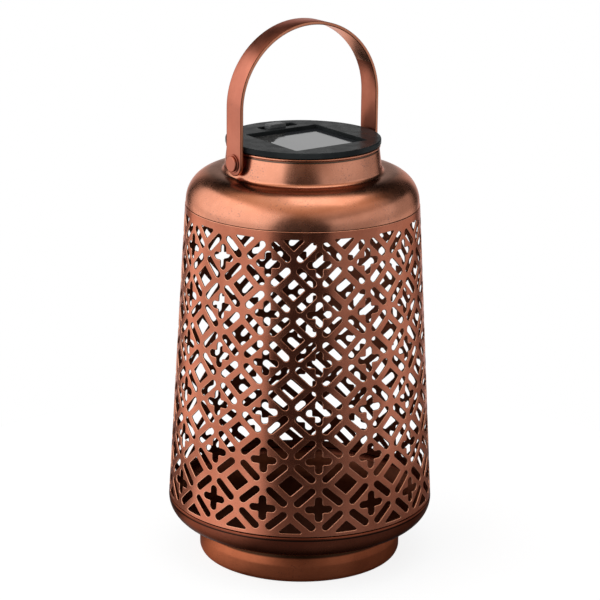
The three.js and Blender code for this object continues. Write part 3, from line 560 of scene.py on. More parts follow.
def copper_material(
    name, light, deep, roughness, flecks=0.4, coat=0.05, grain=(1.0, 1.0, 1.0), rings=(), shade_lines=()
):
    """Satin antique copper: cloudy patina, dark flecks in clusters and a fine grain.

    Painted shade darkens rings about the axis and level lines, each four sizes in mm.
    """
    made = Nodes(bpy.data.materials.new(name))
    clouds = made.spread(made.noise(26.0, 5.0, 0.6), 0.38, 0.66)
    speck = made.spread(made.noise(1100.0, 3.0, 0.6), 0.405, 0.345)
    cluster = made.spread(made.noise(60.0, 3.0), 0.46, 0.62, 0.0, flecks)
    color = made.mixed(clouds, light, deep)
    color = made.mixed(made.times(speck, cluster), color, shaded(deep, FLECK_SHADE))
    brushed = made.stretched(grain)
    color = made.mixed(made.spread(made.noise(420.0, 3.0, 0.6, brushed), 0.3, 0.7, 0.0, 0.35), color, deep)
    # Painted shade: darker copper in rings about the axis and in level lines
    for measure, bands in ((made.from_axis, rings), (made.height, shade_lines)):
        for sizes in bands:
            cover = made.times(made.band(measure(), *sizes), PAINTED_SHADE_COVER)
            color = made.mixed(cover, color, shaded(deep, PAINTED_SHADE_TINT))
    return made.shade(
        Base_Color=color,
        Roughness=made.spread(made.noise(90.0, 4.0), 0.3, 0.7, roughness - 0.04, roughness + 0.05),
        Normal=made.bumped((made.noise(1600.0, 2.0, 0.5, brushed), 0.008), (made.noise(55.0, 2.0), 0.05)),
        Metallic=1.0,
        Coat_Weight=coat,
        Coat_Roughness=0.3,
        Specular_Tint=tuple(0.6 * c + 0.42 for c in light),
    )


def plastic_material(name, base, worn, roughness, shine=0.5):
    """Moulded plastic: fine matt grain, faint clouds and scuffs."""
    made = Nodes(bpy.data.materials.new(name))
    color = made.mixed(made.spread(made.noise(40.0, 4.0), 0.35, 0.7), base, worn)
    long_noise = made.noise(180.0, 4.0, 0.7, made.stretched((1.0, 0.25, 1.0)))
    scuffs = made.spread(long_noise, 0.6, 0.72, 0.0, 0.5)
    return made.shade(
        Base_Color=made.mixed(scuffs, color, tuple(c * 1.7 for c in worn)),
        Roughness=made.spread(made.noise(130.0, 4.0), 0.3, 0.7, roughness - 0.07, roughness + 0.08),
        Normal=made.bumped((made.noise(2200.0, 2.0), 0.018), (made.noise(240.0, 3.0), 0.012)),
        Specular_IOR_Level=shine,
    )


def board_material():
    """Green solder mask over faint copper tracks."""
    made = Nodes(bpy.data.materials.new("board_green"))
    cells = made.add("TexVoronoi", {"Scale": 260.0, "Vector": made.place}, "Distance")
    tracks = made.spread(cells, 0.06, 0.10, 1.0, 0.0)
    mask = made.mixed(made.spread(made.noise(60.0), 0.35, 0.65), (0.008, 0.075, 0.032), (0.014, 0.11, 0.05))
    return made.shade(
        Base_Color=made.mixed(made.times(tracks, 0.45), mask, (0.05, 0.22, 0.09)),
        Roughness=made.spread(made.noise(140.0), 0.3, 0.7, 0.30, 0.42),
        Normal=made.bumped((tracks, 0.03), (made.noise(900.0), 0.008)),
    )


# The cell's dull corner lies beyond a slanted, ragged line across it
DULL_SLOPE = 0.77
DULL_START = 25.5
DULL_FADE = 0.8
DULL_RAGGED = 12.0


def cell_material():
    """Dark cell under clear resin, with a dull, speckled corner where the resin has gone matt."""
    made = Nodes(bpy.data.materials.new("cell_glass"))
    clouds = made.spread(made.noise(45.0, 4.0), 0.35, 0.68)
    deep = made.mixed(clouds, (0.020, 0.022, 0.026), (0.034, 0.036, 0.040))
    slanted = made.math("MULTIPLY_ADD", made.axis("X"), -DULL_SLOPE, made.axis("Y"))
    ragged = made.math("MULTIPLY_ADD", made.noise(480.0, 3.0, 0.7), DULL_RAGGED * MM, slanted)
    dull = made.spread(ragged, DULL_START * MM, (DULL_START + DULL_FADE) * MM)
    speckle = made.spread(made.noise(1700.0, 2.0), 0.60, 0.66, 0.0, 0.5)
    dusty = made.mixed(speckle, (0.022, 0.023, 0.024), (0.42, 0.42, 0.40))
    return made.shade(
        Base_Color=made.mixed(dull, deep, dusty),
        Roughness=made.spread(dull, 0.0, 1.0, 0.10, 0.55),
        Coat_Weight=made.spread(dull, 0.0, 1.0, 0.45, 0.0),
        Specular_IOR_Level=made.spread(dull, 0.0, 1.0, 0.5, 0.1),
        Normal=made.bumped((made.noise(34.0, 2.0), 0.02), (made.noise(900.0, 2.0), 0.0012)),
        IOR=1.38,
        Coat_Roughness=0.06,
    )


ALONG_STRAP = (1.0, 1.0, 0.08)
ROUND_FOOT = (1.0, 1.0, 6.0)
# Painted shade: a ring round the neck's foot, on the cove and the shoulder's flat, and a shadow line under
# the neck's bead
neck_foot_shade = (48.1, 49.2, 56.0, 62.5)
neck_bead_shadow = (neck_top - 2.9, neck_top - 2.5, neck_top - 1.9, neck_top - 1.5)
# Painted shade: a shadow line under the pan's roll, and the pan's lower part, full up to 23 mm and fading out
# by 31 mm
pan_roll_shadow = (pan_top - 2.6, pan_top - 2.2, pan_top - 1.6, pan_top - 1.2)
pan_underside_shade = (0, 1, 23.0, 31.0)
# Painted shade: the foot's top few millimetres, where it lies under the pan
foot_top_shade = (foot_height - 4.2, foot_height - 3.2, foot_height + 1, foot_height + 2)
copper = copper_material("copper_satin", (0.64, 0.228, 0.140), (0.50, 0.160, 0.092), 0.24)
# A much darker copy of the copper, painted shade: on the inner skin and hole walls of the sleeve, inside the
# pan, and on the strap's long roundings
copper_painted_shade = copper_material("copper_painted_shade", (0.17, 0.056, 0.030), (0.10, 0.031, 0.016), 0.45)
# A lighter copy of the copper, painted highlight: on the rounded edges of the sleeve's holes and inside the
# arch's top
copper_painted_highlight = copper_material("copper_painted_highlight", (0.86, 0.42, 0.28), (0.70, 0.30, 0.19), 0.24, 0.2)
# A lighter copy of the copper, painted light on the shoulder and neck, with the painted shade of its ring and
# line
copper_neck_painted_light_and_shade = copper_material(
    "copper_neck_painted_light_and_shade", (0.80, 0.355, 0.232), (0.64, 0.260, 0.160), 0.25, 0.9, rings=[neck_foot_shade], shade_lines=[neck_bead_shadow]
)
copper_strap = copper_material(
    "copper_strap", (0.60, 0.215, 0.142), (0.48, 0.160, 0.106), 0.33, 0.35, 0.02, ALONG_STRAP
)
# A darker copy of the strap's copper, painted shade on the strap's faces that turn inwards or down
copper_under_painted_shade = copper_material(
    "copper_under_painted_shade", (0.44, 0.150, 0.094), (0.34, 0.108, 0.066), 0.33, 0.4, 0.02, ALONG_STRAP
)
copper_cut = copper_material("copper_cut", (0.78, 0.33, 0.20), (0.60, 0.23, 0.135), 0.34)
# A darker copy of the foot's copper, painted shade on the pan, with its shadow line and darkened lower part
copper_pan_painted_shade = copper_material(
    "copper_pan_painted_shade", (0.24, 0.070, 0.038), (0.16, 0.042, 0.023), 0.28, 0.5, shade_lines=[pan_roll_shadow, pan_underside_shade]
)
copper_foot = copper_material(
    "copper_foot", (0.55, 0.160, 0.073), (0.38, 0.098, 0.042), 0.38, 0.5, 0.02, ROUND_FOOT, shade_lines=[foot_top_shade]
)
charcoal = plastic_material("charcoal", (0.013, 0.015, 0.016), (0.027, 0.030, 0.031), 0.30, 0.02)
rubber = plastic_material("rubber_black", (0.008, 0.008, 0.008), (0.016, 0.016, 0.016), 0.7)
knob_plastic = plastic_material("knob_grey", (0.075, 0.080, 0.082), (0.115, 0.120, 0.122), 0.40)
steel = copper_material("steel_plated", (0.62, 0.62, 0.63), (0.46, 0.46, 0.47), 0.28, 0.2, 0.1)
battery_jacket = plastic_material("battery_jacket", (0.06, 0.22, 0.11), (0.09, 0.28, 0.15), 0.3)
led_resin = plastic_material("led_resin", (0.74, 0.75, 0.70), (0.84, 0.84, 0.78), 0.2)
frosted = plastic_material("frosted_dome", (0.78, 0.79, 0.76), (0.86, 0.86, 0.83), 0.38)
board_green = board_material()
glass_cell = cell_material()


def foot_ring():
    top_radius = foot_radius - FOOT_WAIST
    corners = [
        (foot_radius - FOOT_EDGE - FOOT_RIM, 0),
        (foot_radius - FOOT_EDGE * 0.45, 0),
        (foot_radius, FOOT_EDGE),
        (foot_radius, foot_height * 0.55),
        (top_radius, foot_height),
        (top_radius - FOOT_RIM, foot_height),
    ]
    outer = rounded(corners, FOOT_ROUNDS, closed=False, steps=6)
    outline = sheet_outline(outer, FOOT_WALL)
    return turned("foot_turned", outline, ROUND_STEPS, copper_foot, "lantern", "foot_ring")


def base_pan():
    floor_radius = foot_radius - FOOT_WAIST - PAN_SEAT
    edge_bottom = pan_top - PAN_EDGE
    reach, drop = pan_radius - floor_radius, edge_bottom - pan_bottom
    path = [
        (0, pan_bottom),
        (floor_radius * 0.5, pan_bottom),
        *arc((floor_radius, edge_bottom), reach, drop, -90, 0, 24, PAN_FULLNESS),
        *arc((pan_radius - PAN_EDGE, edge_bottom), PAN_EDGE, PAN_EDGE, 15, 90, 5),
        (PAN_LAP_RADIUS, pan_top),
        (PAN_LAP_RADIUS, sleeve_bottom + PAN_LAP),
    ]
    outline = sheet_outline(path, PAN_WALL)
    piece = turned("pan_turned", outline, ROUND_STEPS, copper_pan_painted_shade, "lantern", "base_pan")
    # Faces inside the pan take the darker copper of painted shade
    piece.data.materials.append(copper_painted_shade)
    for face in piece.data.polygons:
        out = Vector((face.center.x, face.center.y, 0))
        in_pan = out.length < PAN_LAP_RADIUS * MM and face.center.z > (pan_bottom + 0.5) * MM
        face.material_index = int(in_pan and (face.normal.z > 0.2 or face.normal.dot(out) < 0))
    return piece


def path_normals(points, closed):
    """Unit normals to the left of a path. An open one goes on mirrored beyond its end points."""
    before = [points[-1], *points[:-1]]
    after = [*points[1:], points[0]]
    if not closed:
        before[0] = Vector((2 * points[0].x - points[1].x, points[1].y))
        after[-1] = Vector((2 * points[-1].x - points[-2].x, points[-2].y))
    along = [(b - a).normalized() for a, b in zip(before, after)]
    return [Vector((-a.y, a.x)) for a in along]


def half_cross():
    """The left half of a cross about the origin, from its lowest tip to its highest."""
    reach, half = CROSS_REACH, CROSS_HALF_WIDTH
    lower = [(0, -reach), (-half, -reach), (-half, -half), (-reach, -half)]
    upper = [(x, -y) for x, y in reversed(lower)]
    radii = [0, half, CROSS_FILLET, half]
    return rounded(lower + upper, radii + radii[::-1], closed=False, steps=4, spacing=PATTERN_SPACING)


def strip():
    """One column of the sheet: its points, their places with the holes' edges rounded off, the
    directions into the holes, the edges that border a hole or rim, and the loops of points.
    """
    points, grown, inward, borders = [], [], [], []

    def add(path, closed=False):
        """Adds a hole's closed path or a stretch of the outline, which has the sheet on its left."""
        first = len(points)
        for here, normal in zip(path, path_normals(path, closed)):
            into = normal if closed else -normal
            points.append(here)
            inward.append(into)
            grown.append(here - into * HOLE_EDGE)
        ids = list(range(first, len(points)))
        ahead = ids[1:] + ids[:1] if closed else ids[1:]
        borders.extend((b, a) if closed else (a, b) for a, b in zip(ids, ahead))
        return ids

    across = [half_column * (2 * i / RIM_PARTS - 1) for i in range(RIM_PARTS + 1)]
    middles = [MARGIN_BELOW + (row + 0.5) * ROW_PITCH for row in range(ROWS)]
    outline = add([Vector((u, 0)) for u in across])
    for height in middles:
        outline += add([Vector((p.x + half_column, p.y + height)) for p in half_cross()])
    outline += add([Vector((-u, sleeve_height)) for u in across])
    for height in reversed(middles):
        outline += add([Vector((-p.x - half_column, p.y + height)) for p in reversed(half_cross())])
    loops = [outline]

    reach_up = DIAMOND_REACH * half_row / half_column
    for row in range(ROWS + 1):
        height = MARGIN_BELOW + row * ROW_PITCH
        sides = [side for side, kept in ((-1, row > 0), (1, row < ROWS)) if kept]
        corners = [(DIAMOND_REACH, height), (0, height + reach_up), (-DIAMOND_REACH, height)]
        if 1 not in sides:
            del corners[1]
        if -1 in sides:
            corners.append((0, height - reach_up))
        loops.append(add(rounded(corners, DIAMOND_ROUND, steps=3, spacing=PATTERN_SPACING), True))
        for side_y in sides:
            for side_x in (-1, 1):
                centre = Vector((side_x * half_column / 2, height + side_y * half_row / 2))
                along = Vector((-side_x * half_column, side_y * half_row)).normalized()
                beside = Vector((-along.y, along.x))
                corners = [
                    centre + along * (a * SLOT_REACH) + beside * (b * SLOT_HALF_WIDTH)
                    for a, b in ((1, 1), (-1, 1), (-1, -1), (1, -1))
                ]
                loops.append(add(rounded(corners, SLOT_HALF_WIDTH, spacing=PATTERN_SPACING), True))
    return points, grown, inward, borders, loops


def pierced_sleeve():
    """The sleeve as one sheet: outer skin, rounded hole edges, hole walls and inner skin."""
    points, grown, inward, borders, loops = strip()
    triangles = filled(points, loops)
    slope = (SLEEVE_BOTTOM_RADIUS - SLEEVE_TOP_RADIUS) / sleeve_height
    tilt = math.atan(slope)
    layers = ((grown, 0.0), (points, HOLE_EDGE), (points, SLEEVE_WALL))
    verts, index, outwards, into_holes = [], {}, [], []

    def vertex(column, i, layer):
        """The number of a strip's point on one of the three layers, rolled to the cone."""
        spots, inset = layers[layer]
        here = spots[i]
        on_right = points[i].x > half_column - 1e-4
        turn = (column + 1) % COLUMNS if on_right else column
        u = here.x - 2 * half_column if on_right else here.x
        key = (turn, round(u, 4), round(here.y, 4), layer)
        if key not in index:
            angle = PATTERN_TURN + turn * 2 * math.pi / COLUMNS + u / pattern_radius
            cosine, sine = math.cos(angle), math.sin(angle)
            radius = SLEEVE_BOTTOM_RADIUS - slope * here.y - inset
            verts.append((radius * cosine, radius * sine, sleeve_bottom + here.y))
            outwards.append(Vector((cosine * math.cos(tilt), sine * math.cos(tilt), math.sin(tilt))))
            into = Vector((-sine * inward[i].x, cosine * inward[i].x, inward[i].y))
            into_holes.append(into.normalized())
            index[key] = len(verts) - 1
        return index[key]

    faces, corner_normals, materials = [], [], []

    def add(corners, normals, material):
        faces.append(corners)
        corner_normals.extend(tuple(n) for n in normals)
        materials.append(material)

    skin_side, inner_side, edge_side = range(3)
    for column in range(COLUMNS):
        for triangle in triangles:
            skin = [vertex(column, i, 0) for i in triangle]
            lining = [vertex(column, i, 2) for i in reversed(triangle)]
            add(skin, [outwards[v] for v in skin], skin_side)
            add(lining, [-outwards[v] for v in lining], inner_side)
        for a, b in borders:
            top = [vertex(column, i, 0) for i in (b, a)]
            edge = [vertex(column, i, 1) for i in (a, b)]
            under = [vertex(column, i, 2) for i in (a, b)]
            wall = edge[::-1] + under
            add(top + edge, [outwards[v] for v in top] + [into_holes[v] for v in edge], edge_side)
            add(wall, [into_holes[v] for v in wall], inner_side)
    mesh = bpy.data.meshes.new("sleeve_pierced")
    mesh.from_pydata([tuple(c * MM for c in v) for v in verts], [], faces)
    mesh.shade_smooth()
    # The inner skin and hole walls take painted shade, and the holes' rounded edges a painted highlight
    for material in (copper, copper_painted_shade, copper_painted_highlight):
        mesh.materials.append(material)
    mesh.polygons.foreach_set("material_index", materials)
    mesh.normals_split_custom_set(corner_normals)
    return placed("sleeve_pierced", mesh, "lantern", "perforated_sleeve")


def shoulder_neck():
    radius = SLEEVE_TOP_RADIUS - SHOULDER_INSET
    neck_base_radius = NECK_TOP_RADIUS + NECK_TAPER
    crown_radius = neck_base_radius + NECK_FILLET + SHOULDER_FLAT
    crown = (crown_radius, shoulder_bottom)
    cove = (neck_base_radius + NECK_FILLET, shoulder_top + NECK_FILLET)
    lap_radius = SLEEVE_TOP_RADIUS - SLEEVE_WALL - SHOULDER_GAP - LAP_PLAY
    path = [
        (lap_radius, low("shoulder_neck").z),
        (lap_radius, shoulder_bottom - SHOULDER_DROP),
        (radius - SHOULDER_LIP, shoulder_bottom - SHOULDER_DROP),
        *arc(crown, radius - crown_radius, SHOULDER_RISE, 0, 90, 28, SHOULDER_FULLNESS),
        *arc(cove, NECK_FILLET, NECK_FILLET, 270, 184, 8),
        (NECK_TOP_RADIUS + NECK_CROOK, neck_top - 2.6 * NECK_BEAD),
        (NECK_TOP_RADIUS, neck_top - 2 * NECK_BEAD),
    ]
    bead = arc((NECK_TOP_RADIUS, neck_top - NECK_BEAD), NECK_BEAD, NECK_BEAD, -60, 130, 10)
    outline = sheet_outline(path, SHOULDER_WALL, bead)
    return turned(
        "shoulder_spun", outline, ROUND_STEPS, copper_neck_painted_light_and_shade, "lantern", "shoulder_neck"
    )


def handle_path():
    """The strap's middle line in X and Z with the direction away from the arch's centre."""
    arch_z = strap_top - STRAP_THICKNESS - STRAP_ARCH
    reach = strap_outside - STRAP_THICKNESS / 2
    rise = STRAP_ARCH + STRAP_THICKNESS / 2
    tip = pivot_z - STRAP_WIDTH / 2
    heights = [tip + STRAP_WIDTH / 2 * (1 - math.cos(math.radians(a))) for a in range(0, 91, 9)]
    heights += [pivot_z + (arch_z - pivot_z) * k / 8 for k in range(1, 8)]
    leg = [(reach, z, 1.0, 0.0) for z in heights]
    arch = []
    for k in range(73):
        angle = math.pi * k / 72
        x, z = reach * math.cos(angle), rise * math.sin(angle)
        normal = Vector((x / reach**2, z / rise**2)).normalized()
        arch.append((x, arch_z + z, normal.x, normal.y))
    return leg + arch + [(-x, z, -nx, nz) for x, z, nx, nz in reversed(leg)]


def handle_strap():
    """The strap with rounded long edges and round ends, as rings of a flat outline bent to shape."""
    half = STRAP_WIDTH / 2
    thick = STRAP_THICKNESS / 2
    profile = [(inset, thick - depth) for inset, depth in quarter_round(STRAP_ROUND)]
    profile += [(inset, -depth) for inset, depth in reversed(profile)]
    points, rows = [], []
    for x, z, nx, nz in handle_path():
        share = max(pivot_z - z, 0) / half
        row = []
        for side in (-1, 1):
            row.append(range(len(points), len(points) + len(profile)))
            for inset, depth in profile:
                radius = half - inset
                spot_y = radius * math.sqrt(max(1 - share**2, 0))
                spot_z = max(z, pivot_z) - radius * share
                points.append((x + nx * depth, side * spot_y, spot_z + nz * depth))
        rows.append(row)
    faces = []
    for (left_a, right_a), (left_b, right_b) in zip(rows, rows[1:]):
        for k in range(len(profile) - 1):
            faces.append((right_a[k], right_b[k], right_b[k + 1], right_a[k + 1]))
            faces.append((left_a[k + 1], left_b[k + 1], left_b[k], left_a[k]))
        faces.append((left_a[0], left_b[0], right_b[0], right_a[0]))
        faces.append((right_a[-1], right_b[-1], left_b[-1], left_a[-1]))
    piece = mesh_piece("strap_bent", points, faces, copper_strap, "handle", "handle_strap")
    for material in (copper_cut, copper_painted_shade, copper_under_painted_shade, copper_painted_highlight):
        piece.data.materials.append(material)
    clean_mesh(piece.data)
    # Faces that turn inwards or down take painted shade, the inside of the arch's top a painted highlight,
    # and the long roundings the darker copper of painted shade
    plain, cut, rounding, shade_painted, light_painted = range(5)
    for face in piece.data.polygons:
        normal, place = face.normal, face.center
        inwards = normal.x * place.x < 0 or normal.z < -STRAP_ROUND_FACING
        at_tip = place.z < pivot_z * MM and abs(normal.x) < 0.5
        if abs(normal.y) > STRAP_CUT_FACING or at_tip:
            face.material_index = cut
        elif abs(normal.y) > STRAP_ROUND_FACING:
            face.material_index = rounding
        elif inwards:
            face.material_index = light_painted if normal.z < -STRAP_PAINTED_HIGHLIGHT_SLOPE else shade_painted
        else:
            face.material_index = plain
    return piece


def on_pivot(side):
    """Turns a round piece about Z to lie along the handle's axis on one side."""
    return lambda p: Vector((side * p.z, side * p.x, pivot_z + p.y))


def handle_rivets():
    """A rivet, a washer and a spacer on each side."""
    tail, head_top = low("handle_rivet_right").x, high("handle_rivet_right").x
    head_under = high("handle_washer_right").x + RIVET_PLAY
    corners = [
        (0, tail),
        (RIVET_TAIL_RADIUS, tail),
        (RIVET_TAIL_RADIUS, tail + RIVET_TAIL),
        (RIVET_SHANK, tail + RIVET_TAIL),
        (RIVET_SHANK, head_under),
        (RIVET_HEAD_RADIUS, head_under),
        (RIVET_HEAD_RADIUS, head_top),
        (0, head_top),
    ]

    def ring(radius, node):
        bore, start, end = RIVET_SHANK + RIVET_PLAY, low(node).x, high(node).x
        return rounded([(bore, start), (radius, start), (radius, end), (bore, end)], WASHER_ROUND, steps=3)

    outlines = {
        ("head", "rivet"): rounded(corners, RIVET_ROUNDS, closed=False),
        ("washer", "washer"): ring(WASHER_RADIUS, "handle_washer_right"),
        ("spacer", "spacer"): ring(SPACER_RADIUS, "handle_spacer_right"),
    }
    for side, label in ((-1, "left"), (1, "right")):
        for (part, node), outline in outlines.items():
            turned(
                f"rivet_{part}_{label}",
                outline,
                SMALL_STEPS,
                copper_strap,
                "lantern",
                f"handle_{node}_{label}",
                on_pivot(side),
            )


def ring_level(radius, z):
    return circle(0, 0, radius, ROUND_STEPS), z


def solar_lid():
    """The lid: a disc with rounded edges, a square tray, a recess with a slot, and the spigot."""
    shell = Shell()
    edge = LID_EDGE
    groove_top = high("sealing_ring").z + SEAL_ROOM
    groove_radius = high("sealing_ring").x + SEAL_ROOM
    rings = [
        (spigot_radius - SPIGOT_WALL, lid_underside),
        (spigot_radius - SPIGOT_WALL, spigot_bottom),
        (spigot_radius - SPIGOT_CHAMFER, spigot_bottom),
        (spigot_radius, spigot_bottom + SPIGOT_CHAMFER),
        (spigot_radius, groove_top),
        (groove_radius, groove_top),
        (groove_radius, lid_bottom),
        *arc((lid_radius - edge, lid_bottom + edge), edge, edge, -90, 0, 5),
        *arc((lid_radius - edge, lid_top - edge), edge, edge, 0, 90, 5),
    ]
    underside, top = shell.tower([ring_level(radius, z) for radius, z in rings])

    def sunk(x, y, half_x, half_y, corner, floor_z):
        """A hollow with a rounded lip; gives the loops of its rim and floor."""
        lip = arc((TRAY_LIP, lid_top - TRAY_LIP), TRAY_LIP, TRAY_LIP, 90, 180, 4)
        levels = [*lip, (0, floor_z)]
        return shell.tower(
            [(rounded_rectangle(x, y, half_x + out, half_y + out, corner + out), z) for out, z in levels]
        )

    half = (cell_high.x - cell_low.x) / 2 + TRAY_PLAY
    rim, floor = sunk(0, middle("solar_cell").y, half, half, TRAY_CORNER, tray_floor)
    recess_rim, recess_floor = sunk(
        SWITCH_X, switch_y, RECESS_LENGTH / 2, RECESS_WIDTH / 2, RECESS_CORNER, recess_floor_z
    )
    slot = rounded_rectangle(SWITCH_X, switch_y, SLOT_LENGTH / 2, SLOT_WIDTH / 2, SLOT_CORNER)
    slot_high, slot_low = shell.tower([(slot, recess_floor_z), (slot, lid_underside)])
    shell.cap(floor)
    shell.cap(recess_floor, [slot_high])
    shell.cap(top, [rim, recess_rim])
    shell.cap(underside, [slot_low], up=False)
    return shell.piece("lid_moulded", charcoal, "solar_module", "lid_plastic", "solar_lid")


def solar_cell():
    shell = Shell()
    x, y, _ = middle("solar_cell")
    half_x, half_y, _ = (cell_high - cell_low) / 2
    rounded_block(shell, x, y, half_x, half_y, cell_low.z, cell_high.z, CELL_CORNER, CELL_EDGE)
    return shell.piece("cell_panel", glass_cell, "solar_module", "solar_cell", "solar_cell")


def sealing_ring():
    bottom, top = low("sealing_ring").z, high("sealing_ring").z
    outer = high("sealing_ring").x
    inner = outer - SEAL_WIDTH
    section = rounded([(inner, bottom), (outer, bottom), (outer, top), (inner, top)], SEAL_ROUND, steps=4)
    return turned("seal_ring", section, ROUND_STEPS, rubber, "solar_module", "sealing_ring")


def switch_knob():
    """The knob: a low block with sloping ends, softened all round, on its stem."""
    lowest, highest = low("switch_knob"), high("switch_knob")
    bottom = recess_floor_z + KNOB_PLAY
    shoulder_z = highest.z - KNOB_CHAMFER
    corners = [
        (lowest.x, bottom),
        (highest.x, bottom),
        (highest.x, shoulder_z),
        (highest.x - KNOB_CHAMFER, highest.z),
        (lowest.x + KNOB_CHAMFER, highest.z),
        (lowest.x, shoulder_z),
    ]
    outline = rounded(corners, KNOB_ROUNDS, steps=3)
    centre = Vector(((lowest.x + highest.x) / 2, (bottom + highest.z) / 2))

    def shrunk(inset):
        points = []
        for p in outline:
            away = [math.copysign(max(abs(c) - inset, 0), c) for c in p - centre]
            points.append(centre + Vector(away))
        return points

    half = (highest.y - lowest.y) / 2
    rounding = quarter_round(KNOB_EDGE)
    slices = [(inset, depth - half) for inset, depth in rounding]
    slices += [(inset, half - depth) for inset, depth in reversed(rounding)]
    # The block is drawn lying down, so its heights become places along Y
    shell = Shell()
    first, last = shell.tower([(shrunk(inset), y) for inset, y in slices])
    shell.faces += [first[::-1], last]
    shell.points = [(x, switch_y + y, z) for x, z, y in shell.points]
    stem_half = (STEM_HALF_LENGTH, STEM_HALF_WIDTH)
    stem_top = bottom + STEM_LAP
    rounded_block(shell, centre.x, switch_y, *stem_half, lowest.z, stem_top, STEM_CORNER, STEM_EDGE)
    piece = shell.piece("knob_block", knob_plastic, "switch", "knob_plastic", "switch_knob")
    clean_mesh(piece.data)
    return piece


def module_housing():
    """The cup under the lid: its window, its screws' counterbores and bosses, and the door's recess."""
    shell = Shell()
    edge = HOUSING_EDGE
    inner_radius = housing_radius - HOUSING_WALL
    rings = [
        *arc((housing_radius - edge, housing_bottom + edge), edge, edge, -90, 0, 6),
        (housing_radius, housing_top - HOUSING_CHAMFER),
        (housing_radius - HOUSING_CHAMFER, housing_top),
        (inner_radius, housing_top),
        (inner_radius, housing_floor),
    ]
    outside, inside = shell.tower([ring_level(radius, z) for radius, z in rings])
    window = [
        (DOME_WINDOW, housing_floor),
        (DOME_WINDOW, housing_bottom + WINDOW_CHAMFER),
        (DOME_WINDOW + WINDOW_CHAMFER, housing_bottom),
    ]
    window_low, window_high = shell.tower([ring_level(radius, z) for radius, z in window])
    under, over = [window_high], [window_low]
    seat = high("housing_screw_1").z - SCREW_REACH - BOSS_WEB + SCREW_PLAY
    for i in (1, 2, 3):
        x, y, _ = middle(f"housing_screw_{i}")
        hole = circle(x, y, COUNTERBORE, SMALL_STEPS)
        boss = circle(x, y, BOSS_RADIUS, SMALL_STEPS)
        bore_top, bore_low = shell.tower([(hole, seat), (hole, housing_bottom)])
        boss_low, boss_top = shell.tower([(boss, housing_floor), (boss, seat + BOSS_WEB)])
        shell.cap(bore_top, up=False)
        shell.cap(boss_top)
        under.append(bore_low)
        over.append(boss_low)
    recess = door_outline(DOOR_PLAY)
    recess_z = high("battery_door").z + DOOR_PLAY
    recess_top, recess_low = shell.tower([(recess, recess_z), (recess, housing_bottom)])
    shell.cap(recess_top, up=False)
    shell.cap(outside, [*under, recess_low], up=False)
    shell.cap(inside, over)
    return shell.piece("housing_moulded", charcoal, "solar_module", "lid_plastic", "module_housing")


def door_outline(grow):
    """The battery door's outline with a round ear at each end, anticlockwise."""
    lowest, highest = low("battery_door"), high("battery_door")
    middle_y = middle("battery_door").y
    half_width = (highest.y - lowest.y) / 2 + grow
    ear = DOOR_EAR + grow
    reach = highest.x + grow - ear
    body = highest.x - 2 * DOOR_EAR + DOOR_EAR_LAP + grow
    half = [(body, -half_width), (body, -ear), *arc((reach, 0), ear, ear, -90, 90, 12)]
    half += [(body, ear), (body, half_width)]
    return [Vector((side * x, middle_y + side * y)) for side in (1, -1) for x, y in half]


def battery_door():
    shell = Shell()
    bottom, top = low("battery_door").z, high("battery_door").z
    levels = [(-DOOR_EDGE, bottom), (0, bottom + DOOR_EDGE), (0, top)]
    first, last = shell.tower([(door_outline(grow), z) for grow, z in levels])
    holes_low, holes_high = [], []
    for i in (1, 2):
        x, y, _ = middle(f"door_screw_{i}")
        hole = circle(x, y, DOOR_HOLE, SCREW_STEPS)
        hole_top, hole_low = shell.tower([(hole, top), (hole, bottom)])
        holes_low.append(hole_low)
        holes_high.append(hole_top)
    shell.cap(first, holes_low, up=False)
    shell.cap(last, holes_high)
    return shell.piece("door_moulded", charcoal, "solar_module", "lid_plastic", "battery_door")


def led_dome():
    """The frosted dome and its flange."""
    lowest, highest = low("led_dome"), high("led_dome")
    drop = housing_bottom - lowest.z
    radius = highest.x - DOME_FLANGE
    inner = radius - DOME_WALL
    outline = [
        *arc((0, housing_bottom), radius, drop, -90, 0, 16),
        (radius, highest.z - DOME_WALL),
        (highest.x, highest.z - DOME_WALL),
        (highest.x, highest.z),
        (inner, highest.z),
        *arc((0, housing_bottom), inner, drop - DOME_WALL, 0, -90, 16),
    ]
    return turned(
        "dome_frosted", outline, DOME_STEPS, frosted, "solar_module", "led_dome"
    )


# The head's radius and height, and the shank's radius
SCREW_SIZES = {"housing": (2.4, 1.6, 1.2), "board": (2.0, 1.4, 0.9), "door": (2.4, 1.2, 1.2)}
THREAD_PITCH = 0.5
THREAD_CORE = 0.8
THREAD_END = 1.4
SCREW_TIP = 0.8
SCREW_TIP_SHARE = 0.2
HEAD_ROUND_SHARE = 0.45
CROSS_ARM_SHARE = 0.52
CROSS_WIDTH_SHARE = 0.14
CROSS_ROOF_SHARE = 0.25


